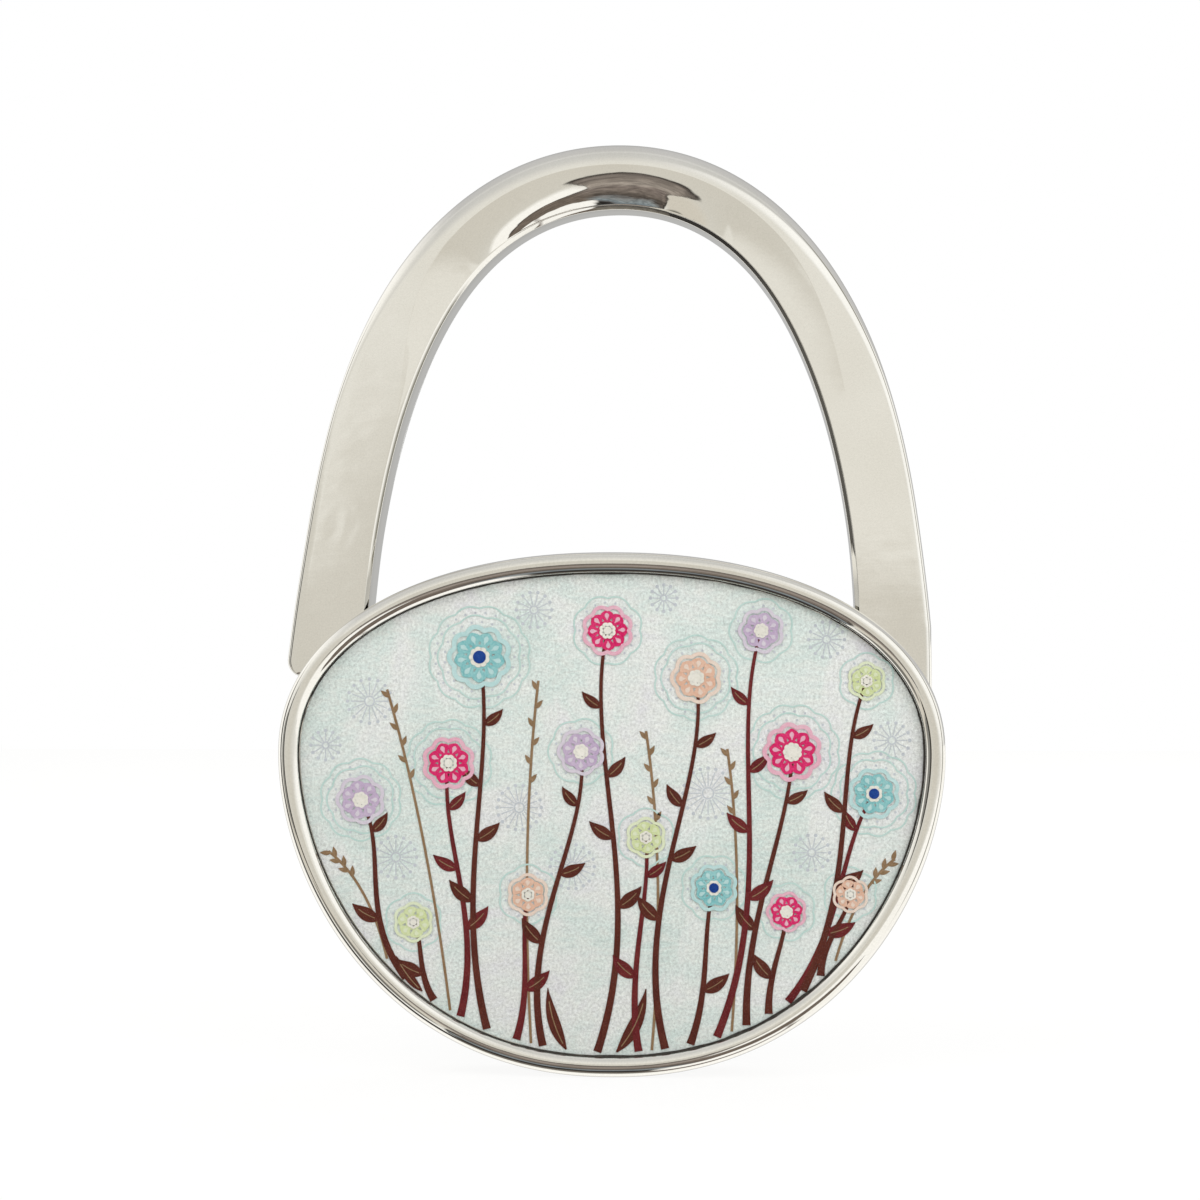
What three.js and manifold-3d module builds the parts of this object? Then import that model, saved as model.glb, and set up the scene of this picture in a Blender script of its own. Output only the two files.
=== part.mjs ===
// Folding purse hook in the shape of a padlock, in millimetres, upright, +Z up, front towards -Y.
// The origin is the centre of the rubber pad's face, the face that lies on the table in use.

import * as THREE from 'three';
import { mergeVertices } from 'three/addons/utils/BufferGeometryUtils.js';
import Module from 'manifold-3d';

const wasm = await Module();
wasm.setup();

// Head: an oval casting, flatter above its widest line than below it. The powers of x and z in the two halves of its
// outline say how full they are.
const headHalfWidth = 22.6;
const headRise = 13.7;
const headDrop = 21.84;
const headTopPower = 2.17;
const headBottomAcrossPower = 2.2;
const headBottomUpPower = 1.85;
const widestHeight = 4;
const castingDepth = 7.6;
const shoulderRadius = 0.55;
const lowerShoulderRadius = 0.8;
const bezelWidth = 1.35;
const bezelStep = 0.6;
const bezelDrop = 0.22;
const bezelPower = 2;
const backEdgeRadius = 1;
const flangeDepth = 2.2;

// Picture: the layers in the recess, from the floor to the front
const inlayTapeThickness = 0.1;
const backingThickness = 0.3;
const shellThickness = 0.25;
const coatThickness = 0.2;
const inlayGap = 0.1;

// Rubber pad on the back
const padRadius = 12.5;
const padStandOut = 1;
const padRecessDepth = 0.6;
const padGap = 0.1;
const padEdgeRadius = 0.3;
const padTapeThickness = 0.1;
const padTapeInset = 0.3;

// Arm: an arched bar whose centre line is two curves that meet at the crown, each drawn by its ends and three handles.
// Insets are measured in from the head's widest point and rises up from the head's widest line. Leans and handle
// rises are measured from the curve's lower end, and shoulder drops down from the crown.
const armDepth = 4.8;
const endWidth = 5.2;
const legWidth = 4.8;
const crownWidth = 4.45;
const crownRise = 39.46;
const crownOffset = 0.38;
const crownHandleInset = 13.15;
const shoulderInset = 5.13;
const tipShoulderDrop = 7.96;
const footShoulderDrop = 7.26;
const tipInset = 2.76;
const tipRise = 5.2;
const tipHandleLean = 1.39;
const tipHandleRise = 10.73;
const tipRadius = 1.3;
const tipSquareLength = 4;
const footInset = 0.8;
const footRise = 8.6;
const footHandleLean = 0.55;
const footHandleRise = 7.4;
const footChamfer = 0.3;
const flareRise = 16;
const slimRise = 26;
const tipLegEdgeRadius = 0.3;
const footLegEdgeRadius = 0.45;
const crownEdgeRadius = 1.4;
const backRadius = 0.3;
const bevelWidth = 0.28;
const bevelDepth = 0.22;
const creaseStartInset = 0.38;
const creaseRise = 22;
const creaseFullRise = 35;
const creaseInset = 3;
const creaseEndInset = 1.7;
const creaseSlope = 0.085;
const creaseEase = 0.3;
const crownHollow = { middle: 1.8, reach: 11, fading: 4, depth: 0.62, power: 2.3 };
const shoulderHollow = { middle: -9, reach: 9, fading: 1.5, depth: 0.1, power: 2.3 };
const edgeHollow = { middle: -5, reach: 6, fading: 1.5, depth: 0.4, power: 5 };
const flangeGap = 0.5;
const tipSeatGap = 0.1;
const notchGap = 0.3;
const notchWallGap = 0.5;
const notchCornerRadius = 1;

// Hinge: an upright pin, fixed in the foot of the arm and turning in the head
const hingeInset = 1.5;
const hingeSetback = 2.3;
const swingGap = 0.25;
const pinRadius = 0.9;
const pinGripLength = 5.8;
const pinPressGap = 0.02;
const pinRunningGap = 0.05;
const pinEndGap = 0.3;
const pinChamfer = 0.15;
const bushWall = 0.45;
const bushLength = 2;
const bushGap = 0.02;
const lugDrop = 0.4;
const lugDepth = 4.6;
const frictionWasherThickness = 0.3;
const springWasherThickness = 0.2;
const springWasherHeight = 0.5;
const washerRadius = 2;
const washerGap = 0.02;
const springWaves = 3;
const grooveDepth = 0.3;
const grooveWidth = 1;
const grooveAboveEnd = 1.1;
const screwRadius = 0.7;
const screwGap = 0.05;
const screwPointRadius = 0.4;
const screwSocketRadius = 0.4;
const screwSocketDepth = 0.6;
const screwSocketSides = 6;

// Magnets that hold the arm shut, one in the head and one in the tip
const magnetRadius = 1.15;
const magnetGap = 0.05;
const headMagnetLength = 2;
const tipMagnetLength = 1.5;

// How finely the round shapes are cut into flats
const outlineSteps = 80;
const roundSteps = 24;
const cornerSteps = 4;
const legSteps = 22;
const creaseSteps = 6;
const overrun = 2;

// Levels from the pad's face to the front
const backLevel = -padStandOut;
const crestLevel = backLevel - castingDepth;
const pictureLevel = crestLevel + bezelStep;
const recessDepth = inlayTapeThickness + backingThickness + shellThickness + coatThickness;
const recessLevel = pictureLevel + recessDepth;
const flangeLevel = crestLevel + flangeDepth;
const armFrontLevel = flangeLevel + flangeGap;
const armBackLevel = armFrontLevel + armDepth;
const tipSeatLevel = armFrontLevel - tipSeatGap;
const padSeatLevel = backLevel - padRecessDepth;

// Places along the arm: out from the middle, and up from the pad's centre
const crownHeight = widestHeight + crownRise;
const crownHandleReach = headHalfWidth - crownHandleInset;
const shoulderReach = headHalfWidth - shoulderInset;
const tipReach = headHalfWidth - tipInset;
const tipHeight = widestHeight + tipRise;
const footReach = headHalfWidth - footInset - endWidth / 2;
const footTopHeight = widestHeight + footRise;

// The hinge's axis and what turns about it
const hingeLevel = armBackLevel - hingeSetback;
const hingeReach = headHalfWidth - footInset - hingeInset;
const lugTopHeight = widestHeight - lugDrop;
const swingRadius = Math.hypot(endWidth - hingeInset, Math.max(hingeSetback, armDepth - hingeSetback)) + swingGap;
const footHeight = lugTopHeight + frictionWasherThickness + springWasherHeight + washerGap;
const pinBottom = lugTopHeight - lugDepth;
const grooveHeight = pinBottom + grooveAboveEnd;
const notchHeight = tipHeight - notchGap;
const tipLevel = (armFrontLevel + armBackLevel) / 2;

// Materials
const metal = (name, color, roughness) =>
  new THREE.MeshStandardMaterial({ name, color, roughness, metalness: 1 });
const plain = (name, color, roughness) =>
  new THREE.MeshStandardMaterial({ name, color, roughness, metalness: 0 });

const mix = THREE.MathUtils.lerp;

// Joins rings of equally many points into one closed skin, with a fan over the first and the last ring
function loft(rings) {
  const count = rings[0].length;
  const points = rings.flat();
  const index = [];
  for (let ring = 0; ring + 1 < rings.length; ring++) {
    for (let step = 0; step < count; step++) {
      const here = ring * count + step;
      const next = ring * count + (step + 1) % count;
      index.push(here, next + count, next, here, here + count, next + count);
    }
  }
  for (const [ring, first] of [[0, true], [rings.length - 1, false]]) {
    const centre = new THREE.Vector3();
    rings[ring].forEach((point) => centre.addScaledVector(point, 1 / count));
    points.push(centre);
    for (let step = 0; step < count; step++) {
      const here = ring * count + step;
      const next = ring * count + (step + 1) % count;
      index.push(...(first ? [here, next] : [next, here]), points.length - 1);
    }
  }
  const geometry = new THREE.BufferGeometry().setFromPoints(points);
  geometry.setIndex(index);
  return geometry;
}

// Turns a closed geometry into a solid: shared corners merged, flats of no area left out
function toSolid(geometry) {
  const bare = geometry.clone();
  bare.deleteAttribute('normal');
  bare.deleteAttribute('uv');
  const merged = mergeVertices(bare);
  const corners = Array.from(merged.index.array);
  const kept = [];
  for (let at = 0; at < corners.length; at += 3) {
    const [a, b, c] = corners.slice(at, at + 3);
    if (a !== b && b !== c && c !== a) kept.push(a, b, c);
  }
  const mesh = new wasm.Mesh({
    numProp: 3,
    vertProperties: Float32Array.from(merged.attributes.position.array),
    triVerts: Uint32Array.from(kept),
  });
  return new wasm.Manifold(mesh);
}

// Cuts the other geometries away from the first
function cut(geometry, ...cutters) {
  let solid = toSolid(geometry);
  for (const cutter of cutters) solid = solid.subtract(toSolid(cutter));
  const mesh = solid.getMesh();
  const result = new THREE.BufferGeometry();
  result.setAttribute('position', new THREE.BufferAttribute(Float32Array.from(mesh.vertProperties), 3));
  result.setIndex(Array.from(mesh.triVerts));
  return result;
}

// A body turned about +Z from a profile of [radius, height] points, its first point repeated to close a ring
function turned(profile) {
  const points = profile.map(([radius, height]) => new THREE.Vector2(radius, height));
  return new THREE.LatheGeometry(points, roundSteps).rotateX(Math.PI / 2);
}

// An upright cylinder at (x, y) from one height to another
function uprightCylinder(radius, low, high, x, y) {
  const cylinder = turned([[0, low], [radius, low], [radius, high], [0, high]]);
  return cylinder.translate(x, y, 0);
}

// A cylinder along Y at (x, z), between two levels
function levelCylinder(radius, front, back, x, z, sides = roundSteps) {
  const cylinder = new THREE.CylinderGeometry(radius, radius, back - front, sides);
  return cylinder.translate(x, (front + back) / 2, z);
}

// A flat ring about +Z, standing on height 0
function washer(inner, outer, thickness) {
  return turned([[inner, 0], [outer, 0], [outer, thickness], [inner, thickness], [inner, 0]]);
}

// One point of the head's outline, moved in by inset along its normal
function headPoint(turn, inset, level) {
  const upper = Math.sin(turn) > 0;
  const rise = upper ? headRise : headDrop;
  const acrossPower = upper ? headTopPower : headBottomAcrossPower;
  const upPower = upper ? headTopPower : headBottomUpPower;
  const signed = (value, power) => Math.sign(value) * Math.abs(value) ** power;
  const across = signed(Math.cos(turn), 2 / acrossPower);
  const up = signed(Math.sin(turn), 2 / upPower);
  const normal = new THREE.Vector2(
    acrossPower * signed(across, acrossPower - 1) / headHalfWidth,
    upPower * signed(up, upPower - 1) / rise,
  ).normalize();
  const x = headHalfWidth * across - inset * normal.x;
  const z = widestHeight + rise * up - inset * normal.y;
  return new THREE.Vector3(x, level, z);
}

function headRing(inset, level) {
  return Array.from({ length: outlineSteps }, (_, step) =>
    headPoint(step / outlineSteps * 2 * Math.PI, inset, level));
}

// A ring of the pad's round seat, its points in line with those of the outline
function padRing(radius, level) {
  return headRing(backEdgeRadius, level).map((point) => {
    const reach = Math.hypot(point.x, point.z);
    return new THREE.Vector3(point.x * radius / reach, level, point.z * radius / reach);
  });
}

// A ring of the rim, whose shoulder is rounder on the lower half: place gives the inset and the level for the
// shoulder's radius at one point of the outline
function rimRing(place) {
  return Array.from({ length: outlineSteps }, (_, step) => {
    const turn = step / outlineSteps * 2 * Math.PI;
    const lowness = THREE.MathUtils.smoothstep(-Math.sin(turn), 0, 0.7);
    return headPoint(turn, ...place(mix(shoulderRadius, lowerShoulderRadius, lowness)));
  });
}

// Head casting: a thick oval with a raised rim, cut away behind the rim where the legs go. The rim's inner slope is
// steepest at the picture and flattens towards its crest.
function headCasting() {
  const slope = Array.from({ length: cornerSteps }, (_, step) => {
    const share = 1 - step / cornerSteps;
    return rimRing((radius) => [mix(radius, bezelWidth, share), crestLevel + bezelDrop * share ** bezelPower]);
  });
  const quarter = Array.from({ length: cornerSteps + 1 }, (_, step) => step / cornerSteps * Math.PI / 2);
  const body = loft([
    headRing(bezelWidth, recessLevel),
    ...slope,
    ...quarter.map((angle) =>
      rimRing((radius) => [radius * (1 - Math.sin(angle)), crestLevel + radius * (1 - Math.cos(angle))])),
    ...quarter.map((angle) =>
      headRing(backEdgeRadius * (1 - Math.cos(angle)), backLevel - backEdgeRadius * (1 - Math.sin(angle)))),
    padRing(padRadius + padGap, backLevel),
    padRing(padRadius + padGap, padSeatLevel),
  ]);
  return cut(
    body,
    tipNotch(),
    footPocket(),
    uprightCylinder(
      magnetRadius + magnetGap, notchHeight - headMagnetLength, notchHeight + overrun, -tipReach, tipLevel,
    ),
    uprightCylinder(
      pinRadius + bushWall + bushGap, lugTopHeight - bushLength, lugTopHeight + overrun, hingeReach, hingeLevel,
    ),
    uprightCylinder(
      pinRadius + pinRunningGap, pinBottom - pinEndGap, lugTopHeight + overrun, hingeReach, hingeLevel,
    ),
    levelCylinder(
      screwRadius + screwGap, hingeLevel + pinRadius / 2, backLevel + overrun, hingeReach, grooveHeight,
    ),
  );
}

// The left shoulder's cut-out, in which the end of the free leg lies. Its wall clears the leg where the leg, which
// leans inwards, leaves the cut-out at the head's top.
function tipNotch() {
  const buried = widestHeight + headRise - tipHeight;
  const wall = freeLeg.curve.getPointAt(buried / freeLeg.curve.getLength()).x + endWidth / 2 + notchWallGap;
  const outline = new THREE.Shape();
  outline.moveTo(-headHalfWidth - overrun, notchHeight);
  outline.lineTo(wall - notchCornerRadius, notchHeight);
  outline.absarc(
    wall - notchCornerRadius, notchHeight + notchCornerRadius, notchCornerRadius, -Math.PI / 2, 0, false,
  );
  outline.lineTo(wall, widestHeight + headRise + overrun);
  outline.lineTo(-headHalfWidth - overrun, widestHeight + headRise + overrun);
  const depth = backLevel + overrun - tipSeatLevel;
  const notch = new THREE.ExtrudeGeometry(outline, { depth, bevelEnabled: false, curveSegments: cornerSteps });
  return notch.rotateX(Math.PI / 2).translate(0, backLevel + overrun, 0);
}

// The right shoulder's pocket, as wide as the foot sweeps about the pin
function footPocket() {
  const sweep = uprightCylinder(
    swingRadius, lugTopHeight, widestHeight + headRise + overrun, hingeReach, hingeLevel,
  );
  const flange = new THREE.BoxGeometry(2 * headHalfWidth, flangeLevel - crestLevel + overrun, 4 * headRise);
  flange.translate(hingeReach, (flangeLevel + crestLevel - overrun) / 2, widestHeight + headRise / 2);
  return cut(sweep, flange);
}

// A smooth curve drawn by its ends and any number of handles, found by drawing the handles together
class HandleCurve extends THREE.Curve {
  constructor(handles) {
    super();
    this.handles = handles;
  }

  getPoint(share) {
    let points = this.handles.map(([x, y]) => new THREE.Vector2(x, y));
    while (points.length > 1) {
      points = points.slice(1).map((point, at) => points[at].clone().lerp(point, share));
    }
    return points[0];
  }
}

// The arm's two legs: the free leg from its tip up to the crown, the hinged leg from the crown down to its foot
const freeLeg = {
  curve: new HandleCurve([
    [-tipReach, tipHeight],
    [tipHandleLean - tipReach, tipHeight + tipHandleRise],
    [-shoulderReach, crownHeight - tipShoulderDrop],
    [-crownHandleReach, crownHeight],
    [crownOffset, crownHeight],
  ]),
  edgeRadius: tipLegEdgeRadius,
  creaseEnd: creaseStartInset,
};
const hingedLeg = {
  curve: new HandleCurve([
    [crownOffset, crownHeight],
    [crownHandleReach, crownHeight],
    [shoulderReach, crownHeight - footShoulderDrop],
    [footReach - footHandleLean, footTopHeight + footHandleRise],
    [footReach, footTopHeight],
  ]),
  edgeRadius: footLegEdgeRadius,
  creaseEnd: creaseEndInset,
};

// One station of the arm: its middle, its outward direction, and how far its rounded end draws it in
function station(leg, share, squareness = 0, endInset = 0, edgeInset = 0) {
  const middle = leg.curve.getPointAt(share);
  const along = leg.curve.getTangentAt(share);
  const outward = new THREE.Vector2(-along.y, along.x);
  outward.lerp(new THREE.Vector2(Math.sign(outward.x), 0), squareness).normalize();
  return { leg, middle, outward, endInset, edgeInset };
}

function armStations() {
  const stations = [];
  const length = freeLeg.curve.getLength();
  const roundInset = (radius, distance) =>
    distance < radius ? radius - Math.sqrt(radius ** 2 - (radius - distance) ** 2) : 0;
  for (let step = 0; step <= cornerSteps; step++) {
    const distance = tipRadius * (1 - Math.cos(step / cornerSteps * Math.PI / 2));
    stations.push(station(
      freeLeg, distance / length, 1, roundInset(tipRadius, distance), roundInset(tipLegEdgeRadius, distance),
    ));
  }
  for (let step = 1; step <= legSteps; step++) {
    const distance = mix(tipRadius, length, step / legSteps);
    const squareness = Math.max(0, 1 - distance / tipSquareLength);
    stations.push(station(freeLeg, distance / length, squareness));
  }
  for (let step = 1; step <= legSteps; step++) {
    stations.push(station(hingedLeg, step / legSteps, step === legSteps ? 1 : 0));
  }
  for (const [height, inset] of [[footHeight + footChamfer, 0], [footHeight, footChamfer]]) {
    const middle = new THREE.Vector2(footReach, height);
    stations.push({
      leg: hingedLeg, middle, outward: new THREE.Vector2(1, 0), endInset: inset, edgeInset: inset,
    });
  }
  return stations;
}

// The bar's section at one station, as a ring of points. The front is flat on the legs, bevelled along its inner
// edge. Towards the crown its outer edge rounds off and a crease moves out from the bevel, behind which the front
// falls away, most in hollows that run into each other: at the crown, on the free leg's shoulder and along the edge
// between them.
function armSection({ leg, middle, outward, endInset, edgeInset }) {
  const towards = (from, to) =>
    THREE.MathUtils.smoothstep(middle.y, widestHeight + from, Math.min(widestHeight + to, crownHeight));
  const width = mix(endWidth, legWidth, towards(tipRise, flareRise));
  const half = mix(width, crownWidth, towards(slimRise, crownRise)) / 2;
  const outerRadius = mix(leg.edgeRadius, crownEdgeRadius, towards(creaseRise, crownRise));
  const opening = towards(creaseRise, creaseFullRise);
  const slopeWidth = mix(leg.creaseEnd, creaseInset, opening);
  const nearness = ({ middle: place, reach, fading }) =>
    Math.max(0, 1 - ((middle.x - place) / reach) ** 2) ** fading;
  const hollow = (down) => [crownHollow, shoulderHollow, edgeHollow].reduce(
    (sum, place) => sum + place.depth * nearness(place) * down ** place.power, 0);
  const fall = creaseSlope * slopeWidth * opening * (1 - creaseEase * nearness(crownHollow));
  const outline = [];
  const corner = (across, level, radius, from) => {
    for (let step = 0; step <= cornerSteps; step++) {
      const angle = from + step / cornerSteps * Math.PI / 2;
      outline.push([across + radius * Math.cos(angle), level + radius * Math.sin(angle)]);
    }
  };
  corner(half - outerRadius, armFrontLevel + outerRadius, outerRadius, -Math.PI / 2);
  corner(half - backRadius, armBackLevel - backRadius, backRadius, 0);
  corner(-half + backRadius, armBackLevel - backRadius, backRadius, Math.PI / 2);
  outline.push([-half, armFrontLevel + fall / 2 + hollow(1) + bevelDepth]);
  for (let step = 0; step <= creaseSteps; step++) {
    const down = 1 - step / creaseSteps;
    const level = armFrontLevel + fall * (down - down ** 2 / 2) + hollow(down);
    outline.push([mix(-half + slopeWidth, -half + bevelWidth, down), level]);
  }
  const centreLevel = (armFrontLevel + armBackLevel) / 2;
  return outline.map(([across, level]) => {
    const drawn = across * (1 - endInset / half);
    const drawnLevel = mix(level, centreLevel, edgeInset / (armDepth / 2));
    return new THREE.Vector3(middle.x + outward.x * drawn, drawnLevel, middle.y + outward.y * drawn);
  });
}

// Arm: the bar, bored from below for the pin and in the tip for the magnet
function hookArm() {
  return cut(
    loft(armStations().map(armSection)),
    uprightCylinder(
      pinRadius + pinPressGap, footHeight - overrun, footHeight + pinGripLength + pinEndGap, hingeReach, hingeLevel,
    ),
    uprightCylinder(
      magnetRadius + magnetGap, tipHeight - overrun, tipHeight + tipMagnetLength, -tipReach, tipLevel,
    ),
  );
}

// A sheet of the picture's stack, standing on one level and reaching towards the front
function sheet(backFace, thickness) {
  const inset = bezelWidth + inlayGap;
  return loft([headRing(inset, backFace - thickness), headRing(inset, backFace)]);
}

// Rubber pad: a disc with a rounded edge, its face on the plane of the table
function antiSlipPad() {
  const seat = padSeatLevel + padTapeThickness;
  const profile = [[0, seat], [padRadius, seat]];
  for (let step = 0; step <= cornerSteps; step++) {
    const angle = step / cornerSteps * Math.PI / 2;
    profile.push([
      padRadius - padEdgeRadius * (1 - Math.cos(angle)), -padEdgeRadius * (1 - Math.sin(angle)),
    ]);
  }
  profile.push([0, 0]);
  const points = profile.map(([radius, level]) => new THREE.Vector2(radius, level));
  return new THREE.LatheGeometry(points, outlineSteps);
}

// Hinge pin: a plain pin with a groove near its lower end for the screw's point
function hingePin() {
  const low = pinBottom;
  const high = footHeight + pinGripLength;
  const pin = turned([
    [0, low],
    [pinRadius - pinChamfer, low],
    [pinRadius, low + pinChamfer],
    [pinRadius, grooveHeight - grooveWidth / 2],
    [pinRadius - grooveDepth, grooveHeight - grooveWidth / 2],
    [pinRadius - grooveDepth, grooveHeight + grooveWidth / 2],
    [pinRadius, grooveHeight + grooveWidth / 2],
    [pinRadius, high - pinChamfer],
    [pinRadius - pinChamfer, high],
    [0, high],
  ]);
  return pin.translate(hingeReach, hingeLevel, 0);
}

// Spring washer: a thin ring bent into waves, whose crests touch the foot and the washer below
function springWasher() {
  const inner = pinRadius + pinRunningGap;
  const lift = springWasherHeight - springWasherThickness;
  const section = [
    [inner, 0],
    [washerRadius, 0],
    [washerRadius, springWasherThickness],
    [inner, springWasherThickness],
  ];
  const steps = 2 * roundSteps;
  const points = [];
  const index = [];
  section.forEach(([radius, thickness], edge) => {
    for (let step = 0; step < steps; step++) {
      const angle = step / steps * 2 * Math.PI;
      const height = thickness + lift * (1 + Math.cos(springWaves * angle)) / 2;
      points.push(new THREE.Vector3(radius * Math.cos(angle), radius * Math.sin(angle), height));
      const next = (step + 1) % steps;
      const here = edge * steps;
      const over = (edge + 1) % section.length * steps;
      index.push(here + step, here + next, over + next, here + step, over + next, over + step);
    }
  });
  const geometry = new THREE.BufferGeometry().setFromPoints(points);
  geometry.setIndex(index);
  return geometry;
}

// Retaining screw: a headless screw along Y with a plain point and a six-sided socket
function retainingScrew() {
  const point = hingeLevel + pinRadius - grooveDepth + screwGap;
  const shank = hingeLevel + pinRadius + screwGap;
  const body = new THREE.LatheGeometry([
    new THREE.Vector2(0, point),
    new THREE.Vector2(screwPointRadius, point),
    new THREE.Vector2(screwPointRadius, shank),
    new THREE.Vector2(screwRadius, shank),
    new THREE.Vector2(screwRadius, backLevel - screwGap),
    new THREE.Vector2(0, backLevel - screwGap),
  ], roundSteps);
  const socket = levelCylinder(
    screwSocketRadius, backLevel - screwGap - screwSocketDepth, backLevel + overrun, 0, 0, screwSocketSides,
  );
  return cut(body, socket).translate(hingeReach, 0, grooveHeight);
}

function part(name, geometry, material) {
  const mesh = new THREE.Mesh(geometry, material);
  mesh.name = name;
  return mesh;
}

const purseHook = new THREE.Group();

const head = new THREE.Group();
const backingFace = recessLevel - inlayTapeThickness;
const shellFace = backingFace - backingThickness;
const coatFace = shellFace - shellThickness;
head.add(
  part('head_casting', headCasting(), metal('plated_zinc_head', 0xd9d7cf, 0.16)),
  part('inlay_tape', sheet(recessLevel, inlayTapeThickness), plain('inlay_adhesive', 0xe6e2d4, 0.7)),
  part('inlay_backing', sheet(backingFace, backingThickness), plain('backing_plate', 0xf2f2ee, 0.5)),
  part('shell_inlay', sheet(shellFace, shellThickness), plain('mother_of_pearl', 0xdde6e1, 0.35)),
  part('clear_coat', sheet(coatFace, coatThickness), plain('clear_resin', 0xf4f7f6, 0.12)),
);
const padTape = uprightCylinder(padRadius - padTapeInset, 0, padTapeThickness, 0, 0).rotateX(Math.PI / 2);
head.add(
  part('pad_tape', padTape.translate(0, padSeatLevel + padTapeThickness, 0), plain('pad_adhesive', 0xd8d2c0, 0.7)),
  part('anti_slip_pad', antiSlipPad(), plain('black_rubber', 0x262628, 0.85)),
  part('retaining_screw', retainingScrew(), metal('screw_steel', 0x8d8c88, 0.35)),
);

const bush = part(
  'hinge_bush', washer(pinRadius + pinRunningGap, pinRadius + bushWall, bushLength), metal('bush_brass', 0xc9a45a, 0.3),
);
bush.position.set(hingeReach, hingeLevel, lugTopHeight - bushLength);
const frictionWasher = part(
  'friction_washer', washer(pinRadius + pinRunningGap, washerRadius, frictionWasherThickness),
  plain('washer_nylon', 0xe9e8e2, 0.5),
);
frictionWasher.position.set(hingeReach, hingeLevel, lugTopHeight);
const spring = part('spring_washer', springWasher(), metal('spring_steel', 0xa9a8a4, 0.3));
spring.position.set(hingeReach, hingeLevel, lugTopHeight + frictionWasherThickness);
const magnetShape = (length) => turned([[0, 0], [magnetRadius, 0], [magnetRadius, length], [0, length]]);
const headMagnet = part('head_magnet', magnetShape(headMagnetLength), metal('head_magnet_nickel', 0xb9b8b4, 0.25));
headMagnet.position.set(-tipReach, tipLevel, notchHeight - headMagnetLength);
head.add(bush, frictionWasher, spring, headMagnet);

const arm = new THREE.Group();
const tipMagnet = part('tip_magnet', magnetShape(tipMagnetLength), metal('tip_magnet_nickel', 0xb9b8b4, 0.25));
tipMagnet.position.set(-tipReach, tipLevel, tipHeight);
arm.add(
  part('hook_arm', hookArm(), metal('plated_zinc_arm', 0xd9d7cf, 0.16)),
  part('hinge_pin', hingePin(), metal('pin_steel', 0x9b9a96, 0.3)),
  tipMagnet,
);

purseHook.add(head, arm);

export default purseHook;
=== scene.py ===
"""Looks of a folding purse hook: an arched nickel arm on an oval head with a picture on mother-of-pearl.

Sizes are written in millimetres, as in the part's source, and become metres where a mesh is made.
X is to the right, Y away from the viewer, Z up. The plane y = 0 is the face of the rubber pad.
"""

import math

import bpy
import numpy as np
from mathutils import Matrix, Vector


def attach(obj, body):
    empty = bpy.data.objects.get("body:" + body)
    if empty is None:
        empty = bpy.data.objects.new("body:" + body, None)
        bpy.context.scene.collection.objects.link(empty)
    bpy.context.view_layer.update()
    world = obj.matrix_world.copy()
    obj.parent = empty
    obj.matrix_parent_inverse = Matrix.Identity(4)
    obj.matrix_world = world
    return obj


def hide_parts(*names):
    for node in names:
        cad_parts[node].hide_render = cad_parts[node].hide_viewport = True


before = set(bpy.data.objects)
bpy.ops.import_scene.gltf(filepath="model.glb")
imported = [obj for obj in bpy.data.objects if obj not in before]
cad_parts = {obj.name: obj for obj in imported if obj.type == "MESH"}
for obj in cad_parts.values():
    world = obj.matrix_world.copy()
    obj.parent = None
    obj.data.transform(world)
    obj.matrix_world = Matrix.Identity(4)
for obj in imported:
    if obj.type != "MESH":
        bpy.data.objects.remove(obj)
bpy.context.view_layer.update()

MM = 0.001
FULL_TURN = 2 * math.pi
QUARTER_TURN = math.pi / 2

# Head: half width, height above and depth below the widest line, and the powers of x and z in each half's outline
HEAD_HALF_WIDTH = 22.6
HEAD_RISE = 13.7
HEAD_DROP = 21.84
HEAD_TOP_POWERS = (2.17, 2.17)
HEAD_BOTTOM_POWERS = (2.2, 1.85)
WIDEST_HEIGHT = 4.0

# Levels, from the front of the rim back to the pad's face
CREST_LEVEL = -8.6
PICTURE_LEVEL = -8.0
SHELL_LEVEL = -7.8
SHELL_BACK_LEVEL = -7.55
RECESS_LEVEL = -7.15
FLANGE_LEVEL = -6.4
TIP_SEAT_LEVEL = -6.0
ARM_FRONT_LEVEL = -5.9
HINGE_LEVEL = -3.4
PAD_SEAT_LEVEL = -1.6
BACK_LEVEL = -1.0

# Rim of the head, from its outer wall in to the picture. The lip's eased edge is a list of (distance in from the
# recess wall, depth below the lip), and the bezel starts at a share of its width
SHOULDER_RADIUS = 0.55
LOWER_SHOULDER_RADIUS = 0.8
LOWER_SHOULDER_SHARE = 0.7
BEZEL_WIDTH = 1.35
BEZEL_DROP = 0.22
BEZEL_POWER = 3.0
BACK_EDGE_RADIUS = 1.0
INLAY_GAP = 0.1
LIP_EDGE = ((0, 0.3), (0, 0.08), (0.01, 0.035), (0.03, 0))
BEZEL_START = 0.96
BELOW_SHOULDER = 0.1

# Arm
ARM_DEPTH = 4.8
ARM_MIDDLE_LEVEL = ARM_FRONT_LEVEL + ARM_DEPTH / 2
LEG_WIDTH = 4.8
END_WIDTH = 5.2
FLARE_HEIGHT = 20.0
CROWN_WIDTH = 4.45
CROWN_HEIGHT = 43.46
SHOULDER_HEIGHT = 30.0
TIP_RADIUS = 1.3
TIP_SQUARE_LENGTH = 4.0
EDGE_RADIUS = 0.3
HINGED_EDGE_RADIUS = 0.45
CROWN_EDGE_RADIUS = 1.4
CREASE_HEIGHT = 26.0
CREASE_FULL_HEIGHT = 39.0
CREASE_INSET = 3.0
CREASE_END_INSET = 1.7
CREASE_SLOPE = 0.085
CREASE_EASE = 0.3
# Places in x between which the free leg's section becomes the hinged leg's
HINGED_SPAN = (-8, 8)
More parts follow.
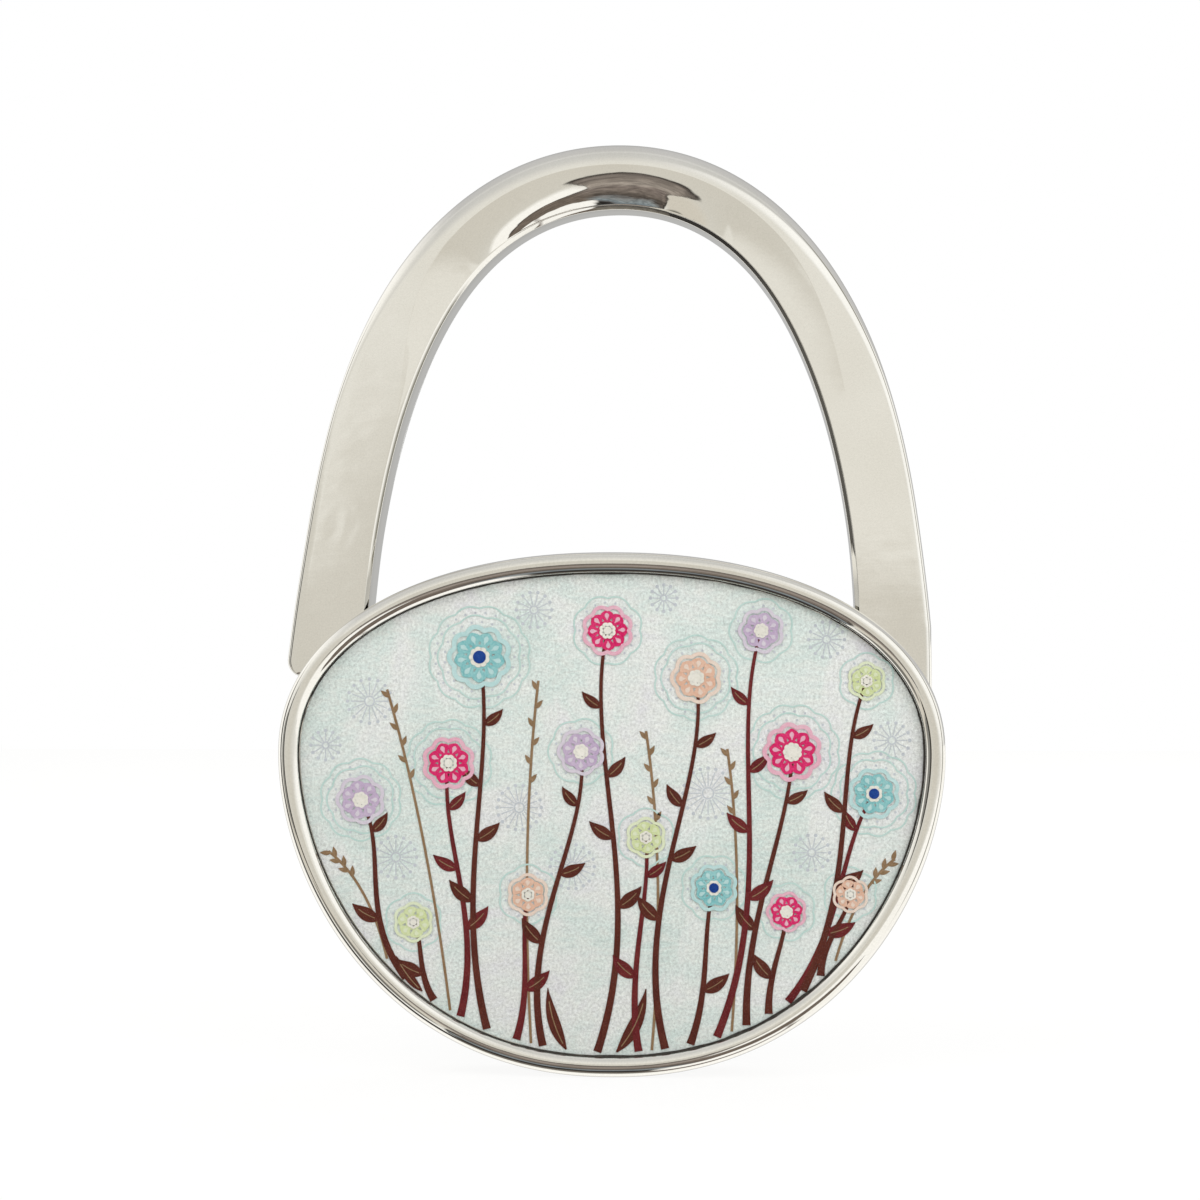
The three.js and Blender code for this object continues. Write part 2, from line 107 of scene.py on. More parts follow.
# Middle, reach, fading, depth and power of the hollows at the crown, on the free leg's shoulder and along the edge
HOLLOWS = ((1.8, 11.0, 4.0, 0.62, 2.3), (-9.0, 9.0, 1.5, 0.1, 2.3), (-5.0, 6.0, 1.5, 0.4, 5.0))
BEVEL_WIDTH = 0.28
BEVEL_DEPTH = 0.22
BEVEL_EASE = 0.12
BEVEL_WALL = 0.05
BEVEL_FLAT = 0.03
SLOPE_START = 0.04
NARROW_SLOPE = 0.1
CREST_PLACES = (0.03, 0.1, 0.3, 0.5, 0.7, 0.9)
FOOT_SQUARE_SHARE = 0.94
FOOT_HEIGHT = 4.42
FOOT_CHAMFER = 0.3
FREE_LEG = ((-19.84, 9.2), (-18.45, 19.93), (-17.47, 35.5), (-9.45, 43.46), (0.38, 43.46))
HINGED_LEG = ((0.38, 43.46), (9.45, 43.46), (17.47, 36.2), (18.65, 20.0), (19.2, 12.6))
TIP_REACH = 19.84
TIP_HEIGHT = 9.2
HINGE_REACH = 20.3
TIP_AXIS = (-TIP_REACH, ARM_MIDDLE_LEVEL)
HINGE_AXIS = (HINGE_REACH, HINGE_LEVEL)

# Cut-outs behind the rim
NOTCH_HEIGHT = 8.9
NOTCH_WALL = -15.65
NOTCH_CORNER_RADIUS = 1.0
LUG_TOP_HEIGHT = 3.6
SWING_RADIUS = 4.72
MAGNET_POCKET_RADIUS = 1.2
HEAD_MAGNET_LENGTH = 2.0
TIP_MAGNET_LENGTH = 1.5
BUSH_POCKET_RADIUS = 1.37
BUSH_LENGTH = 2.0
PIN_BORE_RADIUS = 0.95
PIN_GRIP_RADIUS = 0.92
PIN_GRIP_END = 10.52
PIN_BORE_BOTTOM = -1.3
SCREW_HOLE_RADIUS = 0.75
SCREW_HOLE_FRONT = -2.95
GROOVE_HEIGHT = 0.1
OVERRUN = 2.0

# Rubber pad
PAD_SEAT_RADIUS = 12.6

# How finely curves are cut
OUTLINE_STEPS = 640
CORNER_STEPS = 14
BEZEL_STEPS = 24
RIM_CORNER_STEPS = 20
WALL_STEPS = 12
POCKET_STEPS = 256
CURVE_STEPS = 4001
LEG_STEPS = 220
END_STEPS = 20
SLOPE_STEPS = 48
EASE_STEPS = 6


# Meshes

def halves(quads):
    """Two triangles for each quad."""
    return np.vstack([quads[:, [0, 1, 2]], quads[:, [0, 2, 3]]])


def inside_out(points, triangles):
    """Whether the volume in closed triangles is negative: a sixth of the sum of a . (b x c) over them."""
    a, b, c = (points[triangles[:, corner]] for corner in range(3))
    return np.einsum("ij,ij->", a, np.cross(b, c)) < 0


def closed_mesh(name, points, quads, tris=np.empty((0, 3), int)):
    """A mesh from points in millimetres and two arrays of corners, turned outwards."""
    if inside_out(points, np.vstack([tris, halves(quads)])):
        quads, tris = quads[:, ::-1], tris[:, ::-1]
    corners = np.concatenate([quads.ravel(), tris.ravel()])
    sizes = np.concatenate([np.full(len(quads), 4), np.full(len(tris), 3)])
    mesh = bpy.data.meshes.new(name)
    mesh.vertices.add(len(points))
    mesh.vertices.foreach_set("co", (points * MM).astype(np.float32).ravel())
    mesh.loops.add(len(corners))
    mesh.loops.foreach_set("vertex_index", corners.astype(np.int32))
    mesh.polygons.add(len(sizes))
    mesh.polygons.foreach_set("loop_start", (np.cumsum(sizes) - sizes).astype(np.int32))
    mesh.update(calc_edges=True)
    mesh.validate()
    return mesh


def loft(rings):
    """Closed skin through rings of points, an array of ring by point by xyz: quads join each ring to the next, and a
    fan from the mean of its points closes the first and the last ring."""
    count, steps = rings.shape[:2]
    here = np.arange(steps)
    following = np.roll(here, -1)
    start = (np.arange(count - 1) * steps)[:, None]
    quads = np.stack([start + here, start + steps + here, start + steps + following, start + following], -1)
    points = np.vstack([rings.reshape(-1, 3), rings[0].mean(0), rings[-1].mean(0)])
    first = np.stack([here, following, np.full(steps, count * steps)], -1)
    last_start = (count - 1) * steps
    last = np.stack([last_start + following, last_start + here, np.full(steps, count * steps + 1)], -1)
    return points, quads.reshape(-1, 4), np.vstack([first, last])


def prism(outline, low, high, axis):
    """Closed prism: an outline of points carried along the axis, which is 1 for Y, with points (x, z), or 2 for Z,
    with points (x, y)."""
    rings = np.empty((2, len(outline), 3))
    rings[:, :, [c for c in range(3) if c != axis]] = outline
    rings[0, :, axis] = low
    rings[1, :, axis] = high
    return loft(rings)


def whole_turn(steps):
    """Angles once round, evenly spaced."""
    return np.arange(steps) / steps * FULL_TURN


def towards(turn):
    """Directions at angles: (cos t, sin t)."""
    return np.stack([np.cos(turn), np.sin(turn)], -1)


def unit(vectors):
    """Vectors of length 1."""
    return vectors / np.linalg.norm(vectors, axis=1, keepdims=True)


def across_of(along):
    """Directions a quarter turn to the left of others."""
    return np.stack([-along[:, 1], along[:, 0]], -1)


def circle(radius, x, y, steps=96):
    """Points of a circle: (x + r cos t, y + r sin t)."""
    return [x, y] + radius * towards(whole_turn(steps))


def bore(radius, axis_place, low, high, axis=2):
    """A round hole from low to high, for carving."""
    return prism(circle(radius, *axis_place), low, high, axis)


def smooth(mesh, angle):
    """Smooth shading, except over edges that turn by more than an angle in degrees."""
    mesh.polygons.foreach_set("use_smooth", np.ones(len(mesh.polygons), bool))
    mesh.set_sharp_from_angle(angle=math.radians(angle))


def added(name, data):
    """An object at the origin."""
    made = bpy.data.objects.new(name, data)
    bpy.context.scene.collection.objects.link(made)
    return made


def piece(name, mesh, body, finish, stands_for=(), angle=40):
    """An object at the origin that rides on a body and takes the given finish, hiding the CAD nodes it stands for."""
    mesh.name = name
    made = added(name, mesh)
    mesh.materials.clear()
    mesh.materials.append(finish)
    smooth(mesh, angle)
    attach(made, body)
    if stands_for:
        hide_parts(*stands_for)


def carved(name, shape, cutters):
    """The first closed shape less the others, by Blender's solid boolean."""
    solid = added(name, closed_mesh(name, *shape))
    tools = [added("cutter", closed_mesh("cutter", *cutter)) for cutter in cutters]
    for tool in tools:
        step = solid.modifiers.new("cut", "BOOLEAN")
        step.operation = "DIFFERENCE"
        step.solver = "MANIFOLD"
        step.object = tool
    bpy.context.view_layer.update()
    graph = bpy.context.evaluated_depsgraph_get()
    mesh = bpy.data.meshes.new_from_object(solid.evaluated_get(graph))
    for spare in [solid, *tools]:
        used = spare.data
        bpy.data.objects.remove(spare)
        bpy.data.meshes.remove(used)
    return mesh


# Shapes

def mix(first, second, share):
    """From first at share 0 to second at share 1."""
    return first + (second - first) * share


def smoothstep(value, low, high):
    """0 below low, 1 above high, and 3 s^2 - 2 s^3 between."""
    share = np.clip((value - low) / (high - low), 0, 1)
    return share * share * (3 - 2 * share)


def signed_power(value, power):
    """|value| ** power with the value's sign."""
    return np.sign(value) * np.abs(value) ** power


def head_outline(inset):
    """The head's outline in x and z, moved in by inset along its normal. Each half is the curve
    |x / a| ** p + |z / b| ** q = 1, whose normal runs along (p |x / a| ** (p - 1) / a, q |z / b| ** (q - 1) / b)."""
    turn = whole_turn(OUTLINE_STEPS)
    upper = np.sin(turn) > 0
    rise = np.where(upper, HEAD_RISE, HEAD_DROP)
    p = np.where(upper, HEAD_TOP_POWERS[0], HEAD_BOTTOM_POWERS[0])
    q = np.where(upper, HEAD_TOP_POWERS[1], HEAD_BOTTOM_POWERS[1])
    across = signed_power(np.cos(turn), 2 / p)
    up = signed_power(np.sin(turn), 2 / q)
    normal = np.stack([
        p * signed_power(across, p - 1) / HEAD_HALF_WIDTH, q * signed_power(up, q - 1) / rise,
    ], -1)
    outline = np.stack([HEAD_HALF_WIDTH * across, WIDEST_HEIGHT + rise * up], -1)
    return outline - inset * unit(normal)


def stacked(rings):
    """Rings of points from pairs of an outline in x and z and its level."""
    made = np.empty((len(rings), OUTLINE_STEPS, 3))
    for ring, (outline, level) in zip(made, rings):
        ring[:, [0, 2]] = outline
        ring[:, 1] = level
    return made


def head_rings(profile):
    """One ring of the head's outline for each (inset, level) of a profile, either of them a number or an array that
    goes round the outline."""
    return stacked([
        (head_outline(np.broadcast_to(inset, OUTLINE_STEPS)[:, None]), level) for inset, level in profile
    ])


def pad_rings(profile):
    """Round rings about the pad's centre for each (radius, level), their points in line with the outline's."""
    outward = unit(head_outline(BACK_EDGE_RADIUS))
    return stacked([(outward * radius, level) for radius, level in profile])


def rim_profile():
    """The rim's section as (inset, level): up the recess wall, over the lip, up a slope that flattens towards the
    crest, where its depth below the crest is d s ** p, over the shoulder by a quarter circle that is wider on the
    lower half, down the wall, and round the back edge by another quarter circle."""
    turn = whole_turn(OUTLINE_STEPS)
    radius = mix(SHOULDER_RADIUS, LOWER_SHOULDER_RADIUS, smoothstep(-np.sin(turn), 0, LOWER_SHOULDER_SHARE))
    lip = CREST_LEVEL + BEZEL_DROP
    profile = [(BEZEL_WIDTH, RECESS_LEVEL)] + [(BEZEL_WIDTH - back, lip + depth) for back, depth in LIP_EDGE]
    for share in np.linspace(BEZEL_START, 0, BEZEL_STEPS):
        profile.append((mix(radius, BEZEL_WIDTH, share), CREST_LEVEL + BEZEL_DROP * share ** BEZEL_POWER))
    corner = np.linspace(0, QUARTER_TURN, RIM_CORNER_STEPS)
    profile += [
        (radius * (1 - math.sin(angle)), CREST_LEVEL + radius * (1 - math.cos(angle))) for angle in corner[1:]
    ]
    wall_start = CREST_LEVEL + LOWER_SHOULDER_RADIUS + BELOW_SHOULDER
    profile += [(0, level) for level in np.linspace(wall_start, BACK_LEVEL - BACK_EDGE_RADIUS, WALL_STEPS)]
    profile += [
        (BACK_EDGE_RADIUS * (1 - math.cos(angle)), BACK_LEVEL - BACK_EDGE_RADIUS * (1 - math.sin(angle)))
        for angle in corner[1:]
    ]
    return profile


def tip_notch():
    """The cut-out for the free tip: a rectangle with one quarter-round corner, carried from its seat to the back."""
    turn = np.linspace(-QUARTER_TURN, 0, CORNER_STEPS)
    middle = [NOTCH_WALL - NOTCH_CORNER_RADIUS, NOTCH_HEIGHT + NOTCH_CORNER_RADIUS]
    corner = middle + NOTCH_CORNER_RADIUS * towards(turn)
    far = -HEAD_HALF_WIDTH - OVERRUN
    top = WIDEST_HEIGHT + HEAD_RISE + OVERRUN
    outline = np.vstack([[(far, NOTCH_HEIGHT)], corner, [(NOTCH_WALL, top), (far, top)]])
    return prism(outline, TIP_SEAT_LEVEL, BACK_LEVEL + OVERRUN, 1)


def foot_pocket():
    """The pocket that the foot sweeps: a circle about the pin, cut straight along the back of the rim's flange."""
    outline = circle(SWING_RADIUS, *HINGE_AXIS, POCKET_STEPS)
    outline[:, 1] = np.maximum(outline[:, 1], FLANGE_LEVEL)
    return prism(outline, LUG_TOP_HEIGHT, WIDEST_HEIGHT + HEAD_RISE + OVERRUN, 2)


def head_mesh():
    """The rim's section carried round the outline and in to the pad's seat, less the notch, the pocket and the
    bores."""
    rings = np.vstack([
        head_rings(rim_profile()),
        pad_rings([(PAD_SEAT_RADIUS, BACK_LEVEL), (PAD_SEAT_RADIUS, PAD_SEAT_LEVEL)]),
    ])
    return carved("head_shell", loft(rings), [
        tip_notch(), foot_pocket(),
        bore(MAGNET_POCKET_RADIUS, TIP_AXIS, NOTCH_HEIGHT - HEAD_MAGNET_LENGTH, NOTCH_HEIGHT + OVERRUN),
        bore(BUSH_POCKET_RADIUS, HINGE_AXIS, LUG_TOP_HEIGHT - BUSH_LENGTH, LUG_TOP_HEIGHT + OVERRUN),
        bore(PIN_BORE_RADIUS, HINGE_AXIS, PIN_BORE_BOTTOM, LUG_TOP_HEIGHT + OVERRUN),
        bore(SCREW_HOLE_RADIUS, (HINGE_REACH, GROOVE_HEIGHT), SCREW_HOLE_FRONT, BACK_LEVEL + OVERRUN, axis=1),
    ])


def bezier(controls, share):
    """Points and unit tangents of a Bezier curve at shares of its own length, and that length. A point is the sum
    of the controls times the binomial terms C(n, k) (1 - t) ** (n - k) t ** k."""
    controls = np.array(controls)

    def bernstein(values, t):
        top = len(values) - 1
        terms = (math.comb(top, k) * (1 - t) ** (top - k) * t ** k * value for k, value in enumerate(values))
        return sum(terms)

    t = np.linspace(0, 1, CURVE_STEPS)[:, None]
    line = bernstein(controls, t)
    run = np.concatenate([[0], np.cumsum(np.linalg.norm(np.diff(line, axis=0), axis=1))])
    at = np.interp(share * run[-1], run, t[:, 0])[:, None]
    slope = bernstein(np.diff(controls, axis=0), at)
    return bernstein(controls, at), unit(slope), run[-1]


def round_inset(radius, distance):
    """How far a rounded end draws its side in, at a distance from the end."""
    near = np.clip(radius - distance, 0, radius)
    return radius - np.sqrt(radius ** 2 - near ** 2)


def arm_stations():
    """Middle, outward direction, end inset and edge inset of every station along the arm."""
    def leg(controls, share, squareness, side):
        """Stations across a curve, turned by a share towards one side."""
        middle, along, _ = bezier(controls, share)
        squareness = squareness[:, None]
        return middle, across_of(along) * (1 - squareness) + np.array([side, 0.0]) * squareness

    length = bezier(FREE_LEG, np.array([0.0]))[2]
    turn = np.linspace(0, QUARTER_TURN, END_STEPS)
    distance = np.concatenate([TIP_RADIUS * (1 - np.cos(turn)), np.linspace(TIP_RADIUS, length, LEG_STEPS)[1:]])
    squareness = np.clip(1 - np.maximum(distance - TIP_RADIUS, 0) / TIP_SQUARE_LENGTH, 0, 1)
    free = (
        *leg(FREE_LEG, distance / length, squareness, -1.0),
        round_inset(TIP_RADIUS, distance), round_inset(EDGE_RADIUS, distance),
    )

    share = np.linspace(0, 1, LEG_STEPS)[1:]
    plain = np.zeros(len(share))
    hinged = (*leg(HINGED_LEG, share, smoothstep(share, FOOT_SQUARE_SHARE, 1), 1.0), plain, plain)

    foot_reach, foot_top = HINGED_LEG[-1]
    heights = np.append(np.linspace(foot_top, FOOT_HEIGHT + FOOT_CHAMFER, END_STEPS)[1:], FOOT_HEIGHT)
    inset = np.append(np.zeros(len(heights) - 1), FOOT_CHAMFER)
    middle = np.stack([np.full(len(heights), foot_reach), heights], -1)
    foot = (middle, np.tile([1.0, 0.0], (len(heights), 1)), inset, inset)
    middle, outward, end_inset, edge_inset = (np.concatenate(parts) for parts in zip(free, hinged, foot))
    return middle, unit(outward), end_inset, edge_inset


def arm_rings():
    """The arm's section at every station. The front is flat on the legs, with a narrow bevel along its inner edge.
    Towards the crown its outer edge rounds off, and a crease moves out from the inner edge. Behind the crease the
    front falls away by c (v - v * v / 2), and in three hollows by a further d v ** p, for v from 0 at the crease to
    1 at the inner edge. A hollow fades by (1 - (x / r) ** 2) ** f from its middle to its reach r."""
    middle, outward, end_inset, edge_inset = arm_stations()
    place, height = middle[:, :1], middle[:, 1:]
    hinged = smoothstep(place, *HINGED_SPAN)
    crown = smoothstep(height, SHOULDER_HEIGHT, CROWN_HEIGHT)
    rounding = smoothstep(height, CREASE_HEIGHT, CROWN_HEIGHT)
    opening = smoothstep(height, CREASE_HEIGHT, CREASE_FULL_HEIGHT)
    width = mix(END_WIDTH, LEG_WIDTH, smoothstep(height, TIP_HEIGHT, FLARE_HEIGHT))
    half = mix(width, CROWN_WIDTH, crown) / 2
    outer_radius = mix(mix(EDGE_RADIUS, HINGED_EDGE_RADIUS, hinged), CROWN_EDGE_RADIUS, rounding)
    slope_width = mix(mix(BEVEL_WIDTH + NARROW_SLOPE, CREASE_END_INSET, hinged), CREASE_INSET, opening)
    shares = [
        np.maximum(0, 1 - ((place - centre) / reach) ** 2) ** fading for centre, reach, fading, _, _ in HOLLOWS
    ]
    depths = [share * depth for share, (_, _, _, depth, _) in zip(shares, HOLLOWS)]
    crease_fall = CREASE_SLOPE * slope_width * opening * (1 - CREASE_EASE * shares[0])
    back = ARM_FRONT_LEVEL + ARM_DEPTH

    def points(across, level):
        """A part of every section, from values that may be the same at all stations or at all its points."""
        return np.stack(np.broadcast_arrays(across, level, half)[:2], -1)

    def corner(across, level, radius, start):
        """A quarter circle about (across, level), from a turn of start."""
        turn = start + np.linspace(0, QUARTER_TURN, CORNER_STEPS)
        return points(across + radius * np.cos(turn), level + radius * np.sin(turn))

    def bend(*corners):
        """A corner eased by the curve (1 - t) ** 2 a + 2 t (1 - t) b + t ** 2 c."""
        t = np.linspace(0, 1, EASE_STEPS)
        return points(*((1 - t) ** 2 * a + 2 * t * (1 - t) * b + t ** 2 * c for a, b, c in zip(*corners)))

    step = np.linspace(0, 1, SLOPE_STEPS)
    fall = 1 - step
    inner = -half + BEVEL_WIDTH
    edge_level = ARM_FRONT_LEVEL + crease_fall / 2 + sum(depths)
    bevel_level = edge_level + BEVEL_DEPTH
    ease_width, ease_depth = BEVEL_EASE * BEVEL_WIDTH, BEVEL_EASE * BEVEL_DEPTH
    hollowed = sum(depth * fall ** power for depth, (_, _, _, _, power) in zip(depths, HOLLOWS))
    crest_start, crest_end = -half + slope_width, half - outer_radius
    sections = np.concatenate([
        corner(half - outer_radius, ARM_FRONT_LEVEL + outer_radius, outer_radius, -QUARTER_TURN),
        corner(half - EDGE_RADIUS, back - EDGE_RADIUS, EDGE_RADIUS, 0),
        corner(-half + EDGE_RADIUS, back - EDGE_RADIUS, EDGE_RADIUS, QUARTER_TURN),
        bend((-half, bevel_level + BEVEL_WALL), (-half, bevel_level), (-half + ease_width, bevel_level - ease_depth)),
        bend((inner - ease_width, edge_level + ease_depth), (inner, edge_level), (inner + BEVEL_FLAT, edge_level)),
        points(inner + SLOPE_START + (slope_width - BEVEL_WIDTH - SLOPE_START) * step,
               ARM_FRONT_LEVEL + crease_fall * (fall - fall ** 2 / 2) + hollowed),
        points(crest_start + (crest_end - crest_start) * np.array(CREST_PLACES), ARM_FRONT_LEVEL),
    ], axis=1)
    across = sections[:, :, 0] * (1 - end_inset[:, None] / half)
    level = sections[:, :, 1]
    level = level + (ARM_MIDDLE_LEVEL - level) * (edge_inset / (ARM_DEPTH / 2))[:, None]
    return np.stack([place + outward[:, :1] * across, level, height + outward[:, 1:] * across], -1)


def arm_mesh():
    """The arm's skin through its sections, less the bores for the pin and for the magnet in the free tip."""
    return carved("arm_bar", loft(arm_rings()), [
        bore(PIN_GRIP_RADIUS, HINGE_AXIS, FOOT_HEIGHT - OVERRUN, PIN_GRIP_END),
        bore(MAGNET_POCKET_RADIUS, TIP_AXIS, TIP_HEIGHT - OVERRUN, TIP_HEIGHT + TIP_MAGNET_LENGTH),
    ])


def sheet_mesh(name, front, back, edge):
    """A sheet inside the rim, its front edge rounded off by a quarter circle."""
    inset = BEZEL_WIDTH + INLAY_GAP
    turn = np.linspace(0, QUARTER_TURN, EASE_STEPS)
    rounded = np.stack([inset + edge * (1 - np.sin(turn)), front + edge * (1 - np.cos(turn))], -1)
    return closed_mesh(name, *loft(head_rings([*rounded, (inset, back)])))


# Finishes

def finish(name, colour, roughness, metallic=0.0, **sockets):
    """A material whose uniform values stand on the shader's own sockets, and its nodes."""
    material = bpy.data.materials.new(name)
    material.use_nodes = True
    shader = material.node_tree.nodes["Principled BSDF"]
    shader.inputs["Base Color"].default_value = (*colour, 1)
    shader.inputs["Roughness"].default_value = roughness
    shader.inputs["Metallic"].default_value = metallic
    for socket, value in sockets.items():
        shader.inputs[socket.replace("_", " ")].default_value = value
    return material, Nodes(material)


SMOOTH = "SMOOTHSTEP"


class Nodes:
    """Adds nodes to one material or to the world."""

    def __init__(self, owner):
        self.tree = owner.node_tree
        self.place = None

    def shader(self):
        return self.tree.nodes["Principled BSDF"]

    def add(self, kind, inputs=(), **settings):
        node = self.tree.nodes.new("ShaderNode" + kind)
        for setting, value in settings.items():
            setattr(node, setting, value)
        for socket, value in dict(inputs).items():
            self.feed(node.inputs[socket], value)
        return node

    def feed(self, socket, value):
        if isinstance(value, bpy.types.NodeSocket):
            self.tree.links.new(value, socket)
        else:
            socket.default_value = value

    def where(self):
        """Place on the object."""
        if self.place is None:
            self.place = self.add("TexCoord").outputs["Object"]
        return self.place

    def noise(self, size, detail=3.0, roughness=0.55, stretch=None, distortion=0.0):
        """Noise whose features are about size millimetres across."""
        vector = self.where()
        if stretch:
            vector = self.add("Mapping", {"Vector": vector, "Scale": stretch}).outputs[0]
        return self.add("TexNoise", {
            "Vector": vector, "Scale": 1 / (size * MM), "Detail": detail, "Roughness": roughness,
            "Distortion": distortion,
        }).outputs["Fac"]

    def span(self, value, low, high, new_low, new_high, kind="LINEAR"):
        """A value from low to high, carried to new_low to new_high and held at both ends."""
        return self.add("MapRange", {
            "Value": value, "From Min": low, "From Max": high, "To Min": new_low, "To Max": new_high,
        }, interpolation_type=kind).outputs["Result"]

    def fade_in(self, value, low, high, kind="LINEAR"):
        return self.span(value, low, high, 0, 1, kind)

    def fade_out(self, value, low, high, kind="LINEAR"):
        return self.span(value, low, high, 1, 0, kind)

    def math(self, operation, first, second=0.0):
        return self.add("Math", {0: first, 1: second}, operation=operation).outputs[0]

    def plus(self, first, second):
        return self.math("ADD", first, second)

    def minus(self, first, second):
        return self.math("SUBTRACT", first, second)

    def over(self, first, second):
        return self.math("DIVIDE", first, second)

    def times(self, product, *others):
        for other in others:
            product = self.math("MULTIPLY", product, other)
        return product

    def parts(self, vector):
        return self.add("SeparateXYZ", {0: vector}).outputs

    def blend(self, share, first, second, kind="MIX"):
        node = self.add("Mix", data_type="RGBA", blend_type=kind)
        for socket, value in ((0, share), (6, first), (7, second)):
            self.feed(node.inputs[socket], (*value, 1) if isinstance(value, tuple) else value)
        return node.outputs[2]

    def mottled(self, value, first, second):
        """Two tones by a noise."""
        return self.blend(self.fade_in(value, 0.35, 0.65), first, second)

    def shaded(self, colour, value):
        """A colour made lighter or darker by a value."""
        grey = self.add("CombineColor", {0: value, 1: value, 2: value}).outputs[0]
        return self.blend(1.0, colour, grey, "MULTIPLY")

    def ramp(self, value, stops):
        node = self.add("ValToRGB", {"Fac": value})
        elements = node.color_ramp.elements
        while len(elements) < len(stops):
            elements.new(1)
        for element, (position, colour) in zip(elements, stops):
            element.position = position
            element.color = (*colour, 1)
        return node.outputs["Color"]

    def colour(self, value):
        self.tree.links.new(value, self.shader().inputs["Base Color"])

    def rough(self, value):
        self.tree.links.new(value, self.shader().inputs["Roughness"])

    def bump(self, height, distance, strength=1.0, before=None):
        """Bump of a distance in millimetres."""
        inputs = {"Height": height, "Distance": distance * MM, "Strength": strength}
        if before is not None:
            inputs["Normal"] = before
        normal = self.add("Bump", inputs).outputs["Normal"]
        self.tree.links.new(normal, self.shader().inputs["Normal"])
        return normal


def polished_nickel(name):
    """Bright plating on a polished casting: slightly warm, long faint waves and fine level ripples left by the buff,
    a fine grain and haze."""
    material, nodes = finish(name, (0.8, 0.785, 0.74), 0.1, 1.0)
    haze = nodes.noise(0.5, 4, 0.65)
    cloud = nodes.noise(7, 2)
    grain = nodes.noise(0.12, 2, 0.8)
    nodes.rough(nodes.span(haze, 0.3, 0.7, 0.018, 0.05))
    tone = nodes.mottled(cloud, (0.81, 0.795, 0.752), (0.775, 0.758, 0.71))
    nodes.colour(nodes.shaded(tone, nodes.span(grain, 0.3, 0.7, 0.955, 1.04)))
    waves = nodes.noise(2.6, 1.5, 0.5, distortion=0.4)
    ripples = nodes.noise(1.0, 2, 0.5, stretch=(0.35, 0.35, 1.6))
    nodes.bump(ripples, 0.0011, before=nodes.bump(waves, 0.008))
    return material


def mother_of_pearl():
    """Pale shell under the print: patches of mint, white, lilac and cream, silky streaks and a fine grain."""
    material, nodes = finish("mother_of_pearl", (0.68, 0.75, 0.73), 0.3, Coat_Weight=0.3, Coat_Roughness=0.04)
    patches = nodes.noise(9, 3, 0.6, distortion=1.2)
    base = nodes.ramp(patches, [
        (0.3, (0.63, 0.74, 0.71)), (0.45, (0.71, 0.795, 0.77)),
        (0.55, (0.79, 0.82, 0.81)), (0.7, (0.75, 0.745, 0.79)),
    ])
    streaks = nodes.noise(3, 4, 0.6, stretch=(1.0, 1.0, 2.6), distortion=2.0)
    silky = nodes.blend(nodes.span(streaks, 0.42, 0.62, 0, 0.45), base, (0.8, 0.82, 0.78))
    grain = nodes.noise(0.19, 2, 0.8)
    nodes.colour(nodes.shaded(silky, nodes.span(grain, 0.3, 0.7, 0.74, 1.2)))
    nodes.rough(nodes.span(streaks, 0.3, 0.7, 0.22, 0.4))
    return material


def ink(name, dark, light):
    """Printed ink: a grainy mix of two tones, as a print on shell has, under a gloss."""
    material, nodes = finish(name, dark, 0.5, Specular_IOR_Level=0.05)
    grain = nodes.noise(0.14, 2, 0.7)
    cloud = nodes.noise(1.6, 2)
    mixed = nodes.plus(nodes.span(grain, 0.35, 0.65, 0, 0.6), nodes.span(cloud, 0.35, 0.65, 0, 0.4))
    nodes.colour(nodes.blend(mixed, dark, light))
    return material


def resin():
    """Clear resin over the print, nearly invisible from the front."""
    material, nodes = finish("clear_resin", (0.03, 0.032, 0.032), 0.05, Alpha=0.03)
    nodes.rough(nodes.span(nodes.noise(4, 2), 0.3, 0.7, 0.04, 0.07))
    return material


def rubber():
    """Black rubber with a fine pebbled face and a trace of dust."""
    material, nodes = finish("black_rubber", (0.018, 0.018, 0.019), 0.75)
    cells = nodes.add("TexVoronoi", {"Vector": nodes.where(), "Scale": 1 / (0.35 * MM)})
    dust = nodes.noise(2.4, 5, 0.65)
    nodes.colour(nodes.blend(nodes.span(dust, 0.5, 0.8, 0, 0.35), (0.017, 0.017, 0.018), (0.075, 0.072, 0.068)))
    nodes.rough(nodes.span(dust, 0.3, 0.7, 0.62, 0.85))
    nodes.bump(cells.outputs["Distance"], 0.05, 0.6)
    return material


def plain_metal(name, light, dark, roughness, grain):
    """Small metal parts: fine machining marks and a slight change of tone."""
    material, nodes = finish(name, light, roughness, 1.0)
    marks = nodes.noise(grain, 4, 0.6, stretch=(0.4, 0.4, 3.0))
    nodes.colour(nodes.mottled(marks, light, dark))
    nodes.rough(nodes.span(marks, 0.3, 0.7, roughness * 0.75, roughness * 1.3))
    nodes.bump(marks, 0.004)
    return material


def soft_sheet(name, light, dark, roughness, grain):
    """Tape, backing or nylon: a pale mottle and a faint texture."""
    material, nodes = finish(name, light, roughness)
    mottle = nodes.noise(grain, 4, 0.6)
    nodes.colour(nodes.mottled(mottle, light, dark))
    nodes.bump(mottle, 0.01, 0.5)
    return material


# The picture

